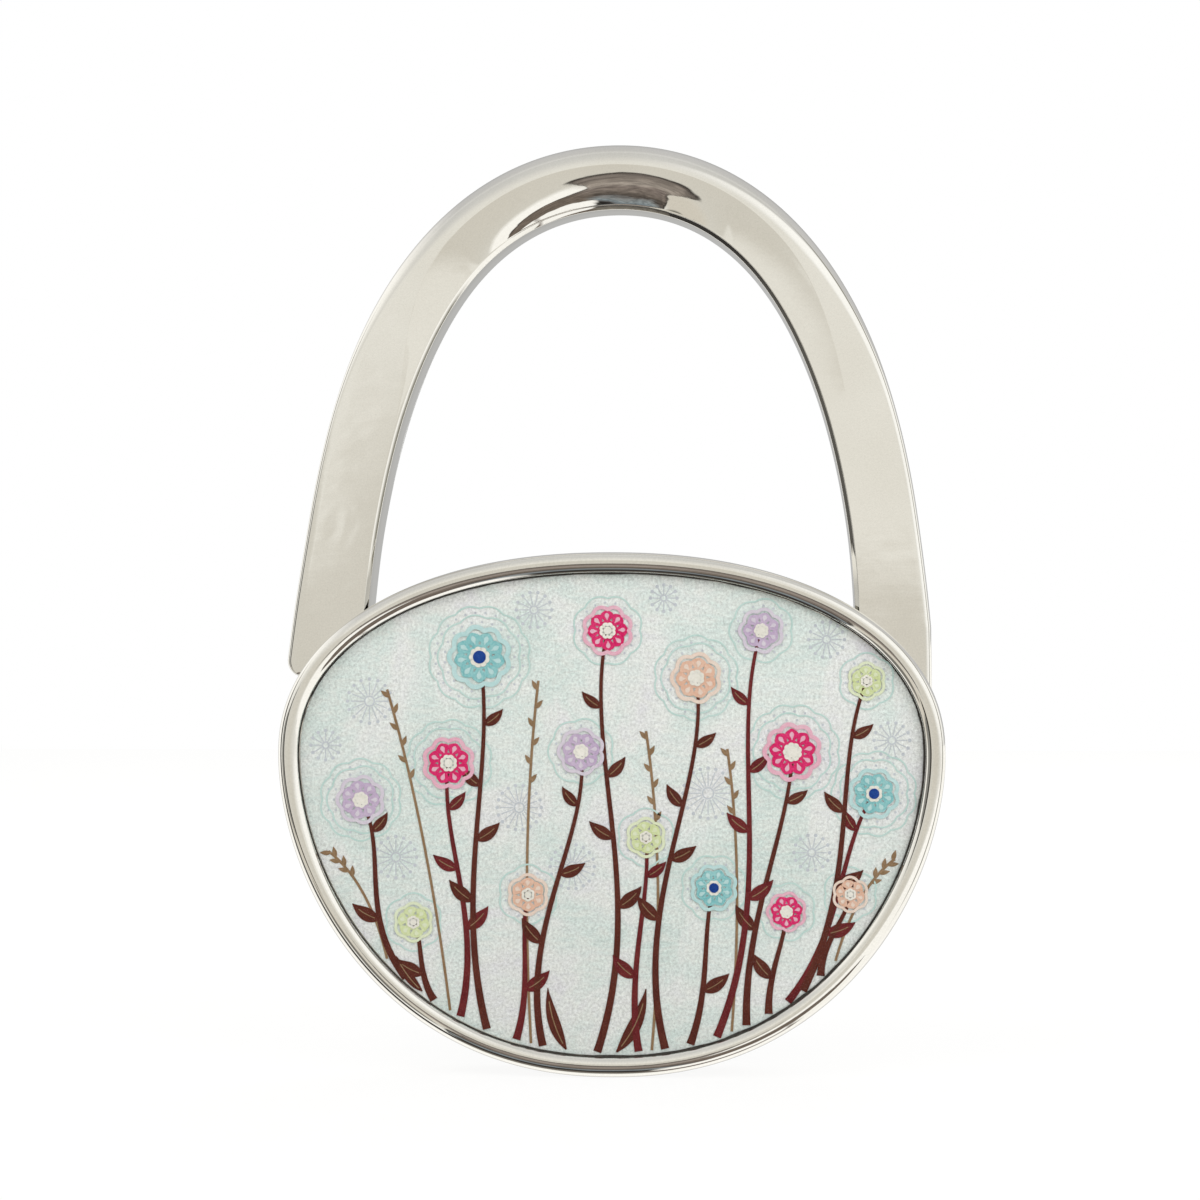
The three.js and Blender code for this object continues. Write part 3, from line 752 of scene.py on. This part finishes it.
class Print:
    """Flat inked shapes of one colour at one level. Each shape is a strip: a line of points with a half width at
    each, whose two sides are its points moved along the line's normal, given a thickness of one ink layer. Strips
    lie at slightly different levels, so that they can overlap."""

    THICKNESS = 0.008
    STAGGER = 0.0008
    STAGGER_STEPS = 12
    DISC_START = 0.04
    PETAL_START, PETAL_END = 0.02, 0.985
    PETAL_BLUNTNESS = 0.6
    PETAL_STEPS = 14
    PETAL_TIP = 0.02
    LEAF_START, LEAF_END = 0.015, 0.985
    LEAF_TIP = 0.01

    def __init__(self, name, level, material):
        self.name, self.level, self.material = name, level, material
        self.points, self.quads = [], []
        self.count = 0

    def strip(self, line, half_width, loop=False):
        line = np.asarray(line, float)
        half_width = np.broadcast_to(half_width, len(line))[:, None]
        if loop:
            along = np.roll(line, -1, axis=0) - np.roll(line, 1, axis=0)
        else:
            along = np.gradient(line, axis=0)
        offset = across_of(unit(along)) * half_width
        left, right = line + offset, line - offset
        back = self.level - self.STAGGER * (len(self.points) % self.STAGGER_STEPS)
        front = back - self.THICKNESS
        corners = np.stack([
            np.insert(side, 1, level, axis=1)
            for side, level in ((left, front), (right, front), (right, back), (left, back))
        ], 1)
        steps = len(line)
        here = np.arange(steps if loop else steps - 1)[:, None]
        following = (here + 1) % steps
        edge = np.arange(4)
        over = (edge + 1) % 4
        quads = np.stack([
            here * 4 + edge, following * 4 + edge, following * 4 + over, here * 4 + over,
        ], -1).reshape(-1, 4)
        if not loop:
            last = (steps - 1) * 4
            quads = np.vstack([quads, [0, 1, 2, 3], [last + 3, last + 2, last + 1, last]])
        points = corners.reshape(-1, 3)
        if inside_out(points, halves(quads)):
            quads = quads[:, ::-1]
        self.points.append(points)
        self.quads.append(quads + self.count)
        self.count += len(points)

    def disc(self, centre, radius, steps=22):
        """A disc as a strip: chords of half length r sin(t) across a straight line."""
        turn = np.linspace(self.DISC_START, math.pi - self.DISC_START, steps)
        line = np.stack([centre[0] - radius * np.cos(turn), np.full(steps, centre[1])], -1)
        self.strip(line, radius * np.sin(turn))

    def ring(self, centre, radius, half_width, scallops=0, depth=0.0, steps=120):
        """A ring of radius r + d |sin(n t / 2)|, plain when it has no scallops."""
        turn = whole_turn(steps)
        reach = radius + depth * np.abs(np.sin(scallops * turn / 2))
        self.strip(centre + reach[:, None] * towards(turn), half_width, loop=True)

    def petal(self, centre, angle, near, far, half_width):
        """A petal: a straight line out from the centre, its half width w sin(pi s ** (1 / bluntness))."""
        share = np.linspace(self.PETAL_START, self.PETAL_END, self.PETAL_STEPS)
        line = centre + towards(angle) * mix(near, far, share)[:, None]
        swelling = np.sin(math.pi * share ** (1 / self.PETAL_BLUNTNESS))
        self.strip(line, half_width * swelling + self.PETAL_TIP)

    def leaf(self, base, angle, length, half_width, bend, steps=20):
        """An almond leaf along an arc: its direction turns by bend, its half width is w sin(pi s ** 0.8)."""
        share = np.linspace(0, 1, steps)
        step = towards(angle + bend * (share - 0.5)) * (length / (steps - 1))
        line = np.array(base) + np.concatenate([[[0, 0]], np.cumsum(step[:-1], axis=0)])
        swelling = np.sin(math.pi * np.clip(share, self.LEAF_START, self.LEAF_END) ** 0.8)
        self.strip(line, half_width * swelling + self.LEAF_TIP)
        return line

    def done(self):
        mesh = closed_mesh(self.name, np.vstack(self.points), np.vstack(self.quads))
        piece(self.name, mesh, "head", self.material, angle=60)


# Dark and light tone of each ink
INKS = {
    "brown": ((0.075, 0.016, 0.012), (0.125, 0.034, 0.022)),
    "maroon": ((0.1, 0.01, 0.014), (0.18, 0.03, 0.03)),
    "sepia": ((0.22, 0.135, 0.07), (0.33, 0.22, 0.13)),
    "magenta": ((0.6, 0.006, 0.1), (0.74, 0.05, 0.19)),
    "lilac": ((0.46, 0.34, 0.52), (0.6, 0.5, 0.64)),
    "peach": ((0.7, 0.4, 0.27), (0.78, 0.56, 0.45)),
    "lime": ((0.58, 0.66, 0.3), (0.7, 0.77, 0.5)),
    "teal": ((0.15, 0.45, 0.48), (0.36, 0.63, 0.63)),
    "navy": ((0.008, 0.035, 0.2), (0.02, 0.07, 0.3)),
    "mint": ((0.48, 0.67, 0.63), (0.6, 0.75, 0.72)),
    "mist": ((0.5, 0.53, 0.58), (0.62, 0.66, 0.7)),
    "cream": ((0.74, 0.72, 0.64), (0.86, 0.84, 0.78)),
    "pale_magenta": ((0.76, 0.36, 0.48), (0.78, 0.52, 0.6)),
    "pale_lilac": ((0.62, 0.55, 0.66), (0.7, 0.66, 0.72)),
    "pale_peach": ((0.78, 0.6, 0.5), (0.8, 0.7, 0.62)),
    "pale_lime": ((0.7, 0.76, 0.5), (0.74, 0.8, 0.62)),
    "pale_teal": ((0.42, 0.66, 0.66), (0.56, 0.74, 0.74)),
}
FLOWER_INKS = ("magenta", "lilac", "peach", "lime", "teal")
INK_GAP = 0.004
INK_LAYER = 0.02

# Ink, middle, start on the lower edge, bow of the stem, radius, petals, rings of dots and leaves
FLOWERS = [
    ("lilac", (-17.0, 0.9), -13.9, 1.6, 1.35, 7, 2, 2), ("magenta", (-11.0, 3.4), -10.2, -1.4, 1.45, 8, 2, 3),
    ("lime", (-13.4, -7.4), -12.0, 0.5, 1.1, 6, 1, 1), ("teal", (-8.9, 10.6), -8.4, 1.6, 1.75, 9, 2, 4),
    ("peach", (-5.6, -5.5), -6.4, -0.6, 1.15, 6, 1, 1), ("lilac", (-2.0, 4.2), -4.6, 2.0, 1.3, 7, 1, 3),
    ("magenta", (-0.2, 12.4), -0.9, -2.4, 1.4, 8, 1, 4), ("lime", (2.4, -1.6), 1.9, 0.8, 1.1, 6, 1, 2),
    ("peach", (5.8, 9.2), 3.7, 2.4, 1.4, 7, 2, 4), ("teal", (7.0, -5.0), 5.4, -0.6, 1.3, 8, 1, 1),
    ("lilac", (10.2, 12.4), 7.2, -2.2, 1.25, 7, 1, 4), ("magenta", (12.3, 4.2), 9.2, 1.0, 1.6, 9, 2, 2),
    ("lime", (17.3, 9.0), 13.0, -1.6, 1.05, 6, 1, 3), ("teal", (17.8, 1.4), 12.0, -1.2, 1.4, 8, 2, 2),
    ("magenta", (11.9, -6.6), 10.7, 0.4, 1.1, 7, 1, 1), ("peach", (16.2, -5.4), 14.2, 0.5, 1.0, 6, 1, 0),
]
# Start on the lower edge, heading, length, half width and bend
BLADES = [(-3.0, 1.85, 4.4, 0.4, -0.5), (0.4, 1.15, 4.8, 0.44, 0.6), (-12.8, 2.2, 3.0, 0.3, -0.4)]
# Start on the lower edge, top and lean
GRASSES = [
    (-15.2, (-19.2, -2.6), 0.8), (-10.9, (-15.2, 8.4), 0.6), (-5.4, (-4.9, 9.0), -1.0), (2.8, (2.4, 5.6), 1.2),
    (8.2, (7.9, 4.4), 1.0), (15.2, (19.2, -3.0), -0.6),
]
# Middle, radius and spokes
SEED_HEADS = [
    ((-16.4, 7.6), 1.5, 16), ((-5.2, 13.8), 1.2, 14), ((14.6, 11.8), 1.2, 14), ((19.0, 5.0), 1.2, 14),
    ((6.6, 1.4), 1.7, 20), ((-14.6, -3.0), 1.4, 16), ((-6.2, 0.4), 1.5, 18), ((13.6, -2.6), 1.2, 14),
    ((-2.6, -3.6), 1.5, 18), ((3.6, 14.6), 0.9, 12), ((-19.4, 4.6), 1.0, 12),
]
FIRST_LEAF, LAST_LEAF = 0.36, 0.84
LEAF_LENGTH = 2.2
STEM_STEPS = 56
GRASS_STEPS = 40
STEM_INSET = 0.25


def lower_edge(x):
    """The point at x on the sheet's lower edge, a little way in from its rim."""
    inset = BEZEL_WIDTH + INLAY_GAP + STEM_INSET
    across, up = HEAD_BOTTOM_POWERS
    share = 1 - (abs(x) / (HEAD_HALF_WIDTH - inset)) ** across
    return np.array([x, WIDEST_HEIGHT - (HEAD_DROP - inset) * share ** (1 / up)])


def heading(line, at):
    """The angle at which a line runs on from one of its points."""
    across, up = line[at + 1] - line[at]
    return math.atan2(up, across)


def picture():
    """A meadow of wild flowers: swaying stems that rise from the lower edge, many-petalled blossoms, almond leaves
    with a pale vein, long blades, and pale seed heads and rings behind them."""
    inks = {tone: ink("ink_" + tone, *shades) for tone, shades in INKS.items()}

    def layer(name, number, tone):
        """A print on top of so many layers of ink."""
        return Print("print_" + name, SHELL_LEVEL - INK_GAP - number * INK_LAYER, inks[tone])

    halos = layer("seed_heads", 0, "mist")
    washes = layer("washes", 1, "mint")
    grasses = layer("grasses", 1, "sepia")
    stems = {"brown": layer("stems", 2, "brown"), "maroon": layer("red_stems", 2, "maroon")}
    veins = layer("veins", 3, "sepia")
    colours = {tone: layer(tone, 3, tone) for tone in FLOWER_INKS}
    tints = {tone: layer("pale_" + tone, 4, "pale_" + tone) for tone in FLOWER_INKS}
    hearts = layer("hearts", 5, "cream")
    eyes = layer("eyes", 6, "navy")

    def round_dots(printed, centre, reach, radius, count, phase=0.0):
        """Dots evenly round a circle."""
        for turn in whole_turn(count):
            printed.disc(centre + reach * towards(phase + turn), radius, 7)

    def seed_head(centre, radius, spokes):
        """Spokes round a small ring, with a dot at the end of each."""
        along = np.linspace(radius * 0.28, radius * 0.86, 3)[:, None]
        for turn in whole_turn(spokes):
            halos.strip(centre + towards(turn) * along, 0.035)
        round_dots(halos, centre, radius, 0.12, spokes)
        halos.ring(centre, radius * 0.22, 0.05, steps=32)

    def blossom(tone, centre, radius, petals, phase, rings):
        """Petals with a pale middle round a scalloped heart, inside rings of dots."""
        for ring in range(rings):
            reach = radius * (1.36 + 0.36 * ring)
            round_dots(halos, centre, reach, 0.085, int(reach * 9), phase)
            washes.ring(centre, reach + 0.28, 0.055, petals + 3 * ring, 0.2)
        tints[tone].ring(centre, radius * 1.02, radius * 0.09, petals, radius * 0.16)
        width = radius * math.sin(math.pi / petals) * 0.8
        for turn in whole_turn(petals):
            colours[tone].petal(centre, phase + turn, radius * 0.26, radius, width)
            tints[tone].petal(centre, phase + turn, radius * 0.5, radius * 0.86, width * 0.3)
        colours[tone].ring(centre, radius * 0.4, radius * 0.09, steps=40)
        hearts.ring(centre, radius * 0.27, radius * 0.07, petals, radius * 0.07, steps=60)
        if tone == "teal":
            eyes.disc(centre, radius * 0.25)
        elif petals % 2:
            hearts.disc(centre, radius * 0.24)
            round_dots(colours[tone], centre, radius * 0.13, radius * 0.035, 6, phase)
        else:
            hearts.disc(centre, radius * 0.2)

    def foliage(printed, line, count, bow):
        """Leaves by turns to the left and to the right of a stem, smaller towards its top."""
        for number in range(count):
            share = FIRST_LEAF + (LAST_LEAF - FIRST_LEAF) * number / max(1, count - 1)
            at = int(share * (len(line) - 2))
            side = 1 if (number + (bow > 0)) % 2 else -1
            length = LEAF_LENGTH * (1.15 - 0.45 * share)
            spine = printed.leaf(line[at], heading(line, at) + side * 0.85, length, 0.21 * length, -side * 0.55)
            veins.strip(spine[3:-5], 0.03)

    for number, (tone, end, start, bow, radius, petals, rings, leaves) in enumerate(FLOWERS):
        printed = stems["maroon" if number % 3 == 1 else "brown"]
        foot = lower_edge(start)
        rise = end - foot
        side = across_of(unit(rise[None]))[0]
        handles = [foot, foot + rise * 0.38 + side * bow * 1.4, foot + rise * 0.72 - side * bow * 0.7, end]
        share = np.linspace(0, 1, STEM_STEPS)
        line = bezier(handles, share)[0]
        printed.strip(line, 0.28 - 0.17 * share ** 0.6)
        foliage(printed, line, leaves, bow)
        blossom(tone, end, radius, petals, 0.4 * number, rings)

    for start, angle, length, width, bend in BLADES:
        spine = stems["brown"].leaf(lower_edge(start), angle, length, width, bend)
        veins.strip(spine[2:-4], 0.035)

    for start, top, lean in GRASSES:
        foot = lower_edge(start)
        middle = (foot + top) / 2 + [lean, 1.5]
        line = bezier([foot, middle, top], np.linspace(0, 1, GRASS_STEPS))[0]
        grasses.strip(line, 0.09)
        for number, at in enumerate(range(28, 39, 2)):
            offset = 0.28 * (1 if number % 2 else -1)
            grasses.leaf(line[at], heading(line, at) + 2.2 * offset, 0.75, 0.15, 0.0, 8)

    for centre, radius, spokes in SEED_HEADS:
        seed_head(centre, radius, spokes)
    flower_layers = [*colours.values(), *tints.values()]
    for printed in [halos, washes, grasses, *stems.values(), veins, *flower_layers, hearts, eyes]:
        printed.done()


# Half width of the painted shade in the seam, by degrees from the right
SEAM_WIDTHS = {
    0: 0.07, 30: 0.035, 60: 0.035, 90: 0.06, 120: 0.045, 150: 0.05, 175: 0.035, 215: 0.012, 240: 0.03, 270: 0.07,
    300: 0.085, 330: 0.05, 360: 0.07,
}
SEAM_START = 0.004
SEAM_DEPTH = 0.01


def seam():
    """Painted shade: a dark hairline strip in the seam round the picture, standing for the rim's shadow on it and, at
    the right, a dark reflection on the bezel. It is wider at the top and at the lower right: a width w of the table
    becomes w (1 + 0.25 sin 41 t sin 9 t)."""
    turn = np.arange(OUTLINE_STEPS) / OUTLINE_STEPS * 360
    half_width = np.interp(turn, list(SEAM_WIDTHS), list(SEAM_WIDTHS.values()))
    half_width *= 1 + 0.25 * np.sin(np.radians(turn) * 41) * np.sin(np.radians(turn) * 9)
    # Painted shade in the seam: a dark strip where the rim casts its shadow and mirrors something dark
    seam_shade_finish = soft_sheet("painted_seam_shade", (0.022, 0.019, 0.017), (0.05, 0.043, 0.037), 0.7, 0.3)
    seam_shade = Print("painted_seam_shadow", PICTURE_LEVEL + SEAM_DEPTH, seam_shade_finish)
    seam_shade.strip(head_outline((BEZEL_WIDTH + SEAM_START + half_width)[:, None]), half_width, loop=True)
    seam_shade.done()


# The object

INK_ROOM = 0.12

piece("head_shell", head_mesh(), "head", polished_nickel("nickel_head"), ["head_casting"], angle=38)
piece("arm_bar", arm_mesh(), "arm", polished_nickel("nickel_arm"), ["hook_arm"], angle=50)
pearl = sheet_mesh("pearl_sheet", SHELL_LEVEL, SHELL_BACK_LEVEL, edge=0.04)
piece("pearl_sheet", pearl, "head", mother_of_pearl(), ["shell_inlay"])
clear = sheet_mesh("resin_sheet", PICTURE_LEVEL, SHELL_LEVEL - INK_ROOM, edge=0.06)
piece("resin_sheet", clear, "head", resin(), ["clear_coat"])
picture()
seam()

finishes = {
    "inlay_tape": soft_sheet("tape_of_the_inlay", (0.76, 0.72, 0.62), (0.66, 0.61, 0.5), 0.6, 0.8),
    "pad_tape": soft_sheet("tape_of_the_pad", (0.7, 0.65, 0.54), (0.6, 0.54, 0.42), 0.6, 0.8),
    "inlay_backing": soft_sheet("white_backing", (0.84, 0.84, 0.82), (0.78, 0.78, 0.75), 0.45, 2.0),
    "anti_slip_pad": rubber(),
    "retaining_screw": plain_metal("screw_steel", (0.34, 0.335, 0.32), (0.24, 0.235, 0.225), 0.34, 0.3),
    "hinge_pin": plain_metal("pin_steel", (0.58, 0.57, 0.55), (0.48, 0.47, 0.45), 0.26, 0.3),
    "spring_washer": plain_metal("spring_steel", (0.52, 0.51, 0.49), (0.4, 0.39, 0.37), 0.3, 0.25),
    "hinge_bush": plain_metal("bush_brass", (0.72, 0.5, 0.2), (0.6, 0.39, 0.14), 0.28, 0.3),
    "friction_washer": soft_sheet("washer_nylon", (0.84, 0.82, 0.76), (0.78, 0.76, 0.69), 0.5, 0.5),
    "head_magnet": plain_metal("magnet_plating_head", (0.62, 0.61, 0.58), (0.54, 0.53, 0.5), 0.2, 0.6),
    "tip_magnet": plain_metal("magnet_plating_tip", (0.62, 0.61, 0.58), (0.54, 0.53, 0.5), 0.2, 0.6),
}
for node, material in finishes.items():
    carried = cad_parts[node]
    carried.data.materials.clear()
    carried.data.materials.append(material)


# Floor, light and camera

FLOOR_HEIGHT = WIDEST_HEIGHT - HEAD_DROP
FLOOR_CORNERS = ((-400, -75), (400, -75), (400, 500), (-400, 500))
FLOOR_WHITE = 1.1
FLOOR_WHITE_SHARE = 0.8
LAMP_SIZE = 260
LAMP_AIM = (0, 0, 10)

# Colours of the studio's wall and table by how far they are from straight in front: 0.5 is a right angle, 1 behind
WALL = [
    (0.0, (0.95, 0.93, 0.87)), (0.13, (0.93, 0.92, 0.87)), (0.23, (0.84, 0.83, 0.8)), (0.31, (0.76, 0.76, 0.74)),
    (0.41, (0.72, 0.72, 0.71)), (0.44, (0.8, 0.8, 0.79)), (0.5, (0.68, 0.68, 0.68)), (0.64, (0.66, 0.66, 0.67)),
    (0.9, (0.4, 0.4, 0.395)), (1.0, (0.34, 0.34, 0.335)),
]
TABLE = [
    (0.0, (0.76, 0.73, 0.66)), (0.09, (0.78, 0.76, 0.7)), (0.25, (0.9, 0.89, 0.85)), (0.4, (1.15, 1.14, 1.1)),
    (0.62, (1.25, 1.24, 1.22)), (0.75, (0.8, 0.79, 0.77)), (0.9, (0.42, 0.42, 0.41)), (1.0, (0.34, 0.34, 0.335)),
]
# Middle, half size, power, blur and colour of the light and dark areas on them
AREAS = [
    ((0.75, 0.24), (0.66, 0.26), 3.0, 0.5, (1.2, 1.2, 1.18)),
    ((-0.34, -0.16), (0.26, 0.17), 2.0, 0.3, (0.79, 0.75, 0.67)),
    ((-0.25, -0.03), (0.055, 0.1), 4.0, 0.3, (0.06, 0.058, 0.052)),
    ((-0.4, -0.03), (0.1, 0.1), 4.0, 0.3, (0.3, 0.295, 0.28)),
    ((-0.31, -0.28), (0.1, 0.11), 3.0, 0.3, (0.22, 0.21, 0.19)),
    ((0.27, -0.14), (0.07, 0.05), 2.0, 0.4, (0.25, 0.22, 0.19)),
]
RING_REACH = 0.79
# Left and right side of the dark stand by height, its top by place from the left, and its colours by height
STAND_SIDES = [
    (0.0, (0.0, 1.15)), (0.4, (0.02, 1.05)), (0.756, (0.14, 0.88)), (0.86, (0.2, 0.81)), (0.94, (0.2, 0.77)),
    (0.96, (0.0, 0.84)),
]
STAND_TOP = [
    (0.0, 0.9), (0.2, 0.52), (0.3, 0.33), (0.35, 0.25), (0.385, 0.2), (0.396, 0.17), (0.404, 0.09), (0.415, 0.062),
    (0.45, 0.064), (0.475, 0.05), (0.505, 0.05), (0.52, 0.18), (0.6, 0.21), (0.7, 0.245), (0.8, 0.29), (1.0, 0.6),
]
STAND_TONES = [
    (0.0, (0.3, 0.29, 0.27)), (0.21, (0.44, 0.42, 0.38)), (0.46, (0.24, 0.22, 0.19)), (0.55, (0.1, 0.09, 0.08)),
    (0.59, (0.03, 0.028, 0.027)), (0.635, (0.035, 0.03, 0.03)), (0.655, (0.14, 0.14, 0.14)),
    (0.68, (0.22, 0.26, 0.29)), (0.71, (0.29, 0.33, 0.35)), (0.745, (0.22, 0.22, 0.22)),
    (0.765, (0.1, 0.085, 0.075)), (0.79, (0.13, 0.11, 0.095)), (0.815, (0.25, 0.21, 0.185)),
    (0.85, (0.24, 0.2, 0.18)), (0.88, (0.42, 0.37, 0.33)), (0.915, (0.3, 0.26, 0.23)),
    (0.94, (0.22, 0.19, 0.17)), (0.96, (0.14, 0.12, 0.11)),
]


def seen_plainly(nodes, mirrored=0.0):
    """1 for rays from the camera and through the clear coat, and a given share for rays mirrored in the metal."""
    rays = nodes.add("LightPath").outputs
    direct = nodes.math("MAXIMUM", rays["Is Camera Ray"], rays["Is Transmission Ray"])
    return nodes.math("MAXIMUM", direct, nodes.times(rays["Is Glossy Ray"], mirrored))


def make_floor():
    """A flat sheet of pale paper under the head, white to the camera apart from the object's soft shadow."""
    mesh = bpy.data.meshes.new("floor")
    mesh.from_pydata([(x * MM, y * MM, FLOOR_HEIGHT * MM) for x, y in FLOOR_CORNERS], [], [(0, 1, 2, 3)])
    floor = added("floor", mesh)
    material, nodes = finish("pale_paper", (0.62, 0.61, 0.58), 0.9)
    fibre = nodes.noise(3, 4)
    nodes.colour(nodes.mottled(fibre, (0.64, 0.63, 0.6), (0.61, 0.6, 0.57)))
    white = nodes.add("Emission", {"Color": (1, 1, 1, 1), "Strength": FLOOR_WHITE}).outputs[0]
    share = nodes.times(seen_plainly(nodes), FLOOR_WHITE_SHARE)
    mixed = nodes.add("MixShader", {0: share, 1: nodes.shader().outputs[0], 2: white}).outputs[0]
    nodes.tree.links.new(mixed, nodes.tree.nodes["Material Output"].inputs["Surface"])
    mesh.materials.append(material)
    floor.visible_glossy = False


def make_world():
    """A studio as a function of direction, on the plane X = x / (1 - y), Z = z / (1 - y), where a distance of 1 from
    the middle is a right angle from straight in front. A light wall and a paler table, with light and dark areas on
    them, that both grey towards the back, and a dark stand between two sides X = left(Z) and X = right(Z) and below
    Z = -top(X), which ends before straight down. Rays mirrored towards the back see a share of the plain white."""
    world = bpy.data.worlds.new("studio")
    bpy.context.scene.world = world
    world.use_nodes = True
    nodes = Nodes(world)
    nodes.tree.nodes.clear()
    plus, minus, times, over = nodes.plus, nodes.minus, nodes.times, nodes.over
    fade_in, fade_out, span, blend = nodes.fade_in, nodes.fade_out, nodes.span, nodes.blend
    direction = nodes.add("TexCoord").outputs["Generated"]
    x, y, z = nodes.parts(direction)
    far = nodes.math("MAXIMUM", minus(1.0, y), 1e-6)
    right, up = over(x, far), over(z, far)
    reach = nodes.math("SQRT", plus(times(right, right), times(up, up)))
    spread = over(reach, plus(reach, 1.0))
    aslant = plus(right, times(up, 0.5))

    def noise(scale, output):
        """Noise on the direction."""
        return nodes.add("TexNoise", {"Vector": direction, "Scale": scale, "Detail": 3.0}).outputs[output]

    def area(middle, half_size, power, blur):
        """1 inside |X / a| ** p + |Z / b| ** p = 1 and 0 outside, about a middle."""
        across, along = (
            nodes.math("POWER", nodes.math("ABSOLUTE", over(minus(value, centre), half)), power)
            for value, centre, half in zip((right, up), middle, half_size)
        )
        return fade_out(plus(across, along), 1 - blur, 1 + blur, SMOOTH)

    def ring(near, far):
        """1 on the circle of the ring's reach, fading from near to far of it."""
        return fade_out(nodes.math("ABSOLUTE", minus(reach, RING_REACH)), near, far, SMOOTH)

    # The table's edge is level. Left of the middle it's raised over a short stretch, and further left it climbs
    leftward = nodes.math("MAXIMUM", minus(-0.068, right), 0.0)
    raised = times(fade_in(right, -0.067, -0.055, SMOOTH), fade_out(right, -0.001, 0.006))
    edge = minus(minus(up, times(leftward, 0.9)), times(raised, 0.016))
    edge = over(edge, plus(times(raised, 1.5), 1.0))
    edge = over(edge, plus(times(leftward, 45.0), 1.0))
    wall = fade_in(edge, -0.004, 0.012, SMOOTH)
    lit = blend(wall, nodes.ramp(spread, TABLE), nodes.ramp(spread, WALL))
    for *shape, colour in AREAS:
        lit = blend(area(*shape), lit, colour)
    streak = times(fade_in(right, 0.004, 0.03), fade_out(up, -0.115, -0.075), fade_in(up, -0.62, -0.5))
    lit = blend(streak, lit, (1.2, 1.19, 1.16))
    shade = blend(fade_in(right, -0.72, -0.55), (0.12, 0.115, 0.105), (0.045, 0.042, 0.04))
    lit = blend(times(ring(0.12, 0.17), fade_out(aslant, -0.62, -0.5)), lit, shade)
    edging = times(ring(0.04, 0.13), fade_in(right, 0.5, 0.6), fade_in(up, -0.44, -0.36))
    lit = blend(edging, lit, (0.3, 0.29, 0.25))

    # The stand, with ragged edges and speckled colours
    shift = nodes.parts(noise(9.0, "Color"))
    place = plus(right, span(shift["X"], 0.3, 0.7, 0.48, 0.52))
    height = plus(up, span(shift["Y"], 0.3, 0.7, -0.025, 0.025))
    sides = nodes.ramp(fade_in(up, -1.4, -0.4), [(at, (*pair, 0)) for at, pair in STAND_SIDES])
    first_side, last_side, _ = nodes.parts(sides)
    top = nodes.ramp(fade_in(right, -0.5, 0.5), [(at, (level,) * 3) for at, level in STAND_TOP])
    top = plus(top, span(shift["Z"], 0.3, 0.7, -0.012, 0.012))
    drop = minus(times(up, -1.0), top)
    stand = times(
        fade_in(minus(place, first_side), -0.008, 0.012), fade_in(minus(last_side, place), -0.008, 0.012),
        fade_in(drop, -0.004, 0.004), fade_out(reach, 0.86, 0.97, SMOOTH),
    )
    tones = nodes.ramp(fade_in(height, -1.4, 0.0), STAND_TONES)
    tones = blend(fade_in(right, 0.03, 0.07), tones, (0.19, 0.155, 0.13))
    speckle = span(noise(30.0, "Fac"), 0.3, 0.7, 0.65, 1.4)
    lit = blend(stand, lit, nodes.shaded(tones, times(speckle, span(drop, 0.004, 0.022, 0.3, 1))))
    wedge = times(
        fade_out(height, -0.465, -0.445), fade_in(place, 0.53, 0.56),
        area((0.22, -0.56), (0.2, 0.15), 4.0, 0.2), fade_out(aslant, 0.01, 0.04),
    )
    lit = blend(wedge, lit, (1.2, 1.19, 1.17))

    behind = span(spread, 0.88, 0.94, 0, 0.22)
    seen = blend(seen_plainly(nodes, behind), lit, (1.0, 1.0, 1.0))
    background = nodes.add("Background", {"Color": seen, "Strength": 1.0}).outputs[0]
    nodes.add("OutputWorld", {"Surface": background})


def soft_lamp(name, place, power):
    """A square soft lamp, in millimetres, that lights matt surfaces and isn't mirrored in the metal."""
    data = bpy.data.lights.new(name, "AREA")
    data.shape = "SQUARE"
    data.size = LAMP_SIZE * MM
    data.energy = power
    lamp = added(name, data)
    lamp.location = Vector(place) * MM
    lamp.rotation_mode = "QUATERNION"
    lamp.rotation_quaternion = (Vector(LAMP_AIM) - Vector(place)).to_track_quat("-Z", "Y")
    lamp.visible_glossy = False


def make_camera():
    """Level with the middle of the arm's opening, a little to the right of straight in front."""
    target = Vector((-0.68, CREST_LEVEL, 14.47))
    yaw = math.radians(2.7)
    distance = 232
    data = bpy.data.cameras.new("camera")
    data.lens = 103.1
    data.sensor_width = 36
    data.clip_start = 0.01
    camera = added("camera", data)
    camera.location = (target + distance * Vector((math.sin(yaw), -math.cos(yaw), 0))) * MM
    camera.rotation_mode = "QUATERNION"
    camera.rotation_quaternion = (target * MM - camera.location).to_track_quat("-Z", "Y")
    bpy.context.scene.camera = camera


make_floor()
make_world()
soft_lamp("key_lamp", (-220, -320, 330), 0.55)
soft_lamp("fill_lamp", (260, -300, 160), 0.42)
soft_lamp("back_lamp", (120, 330, 300), 0.5)
make_camera()
bpy.context.scene.view_settings.view_transform = "Standard"
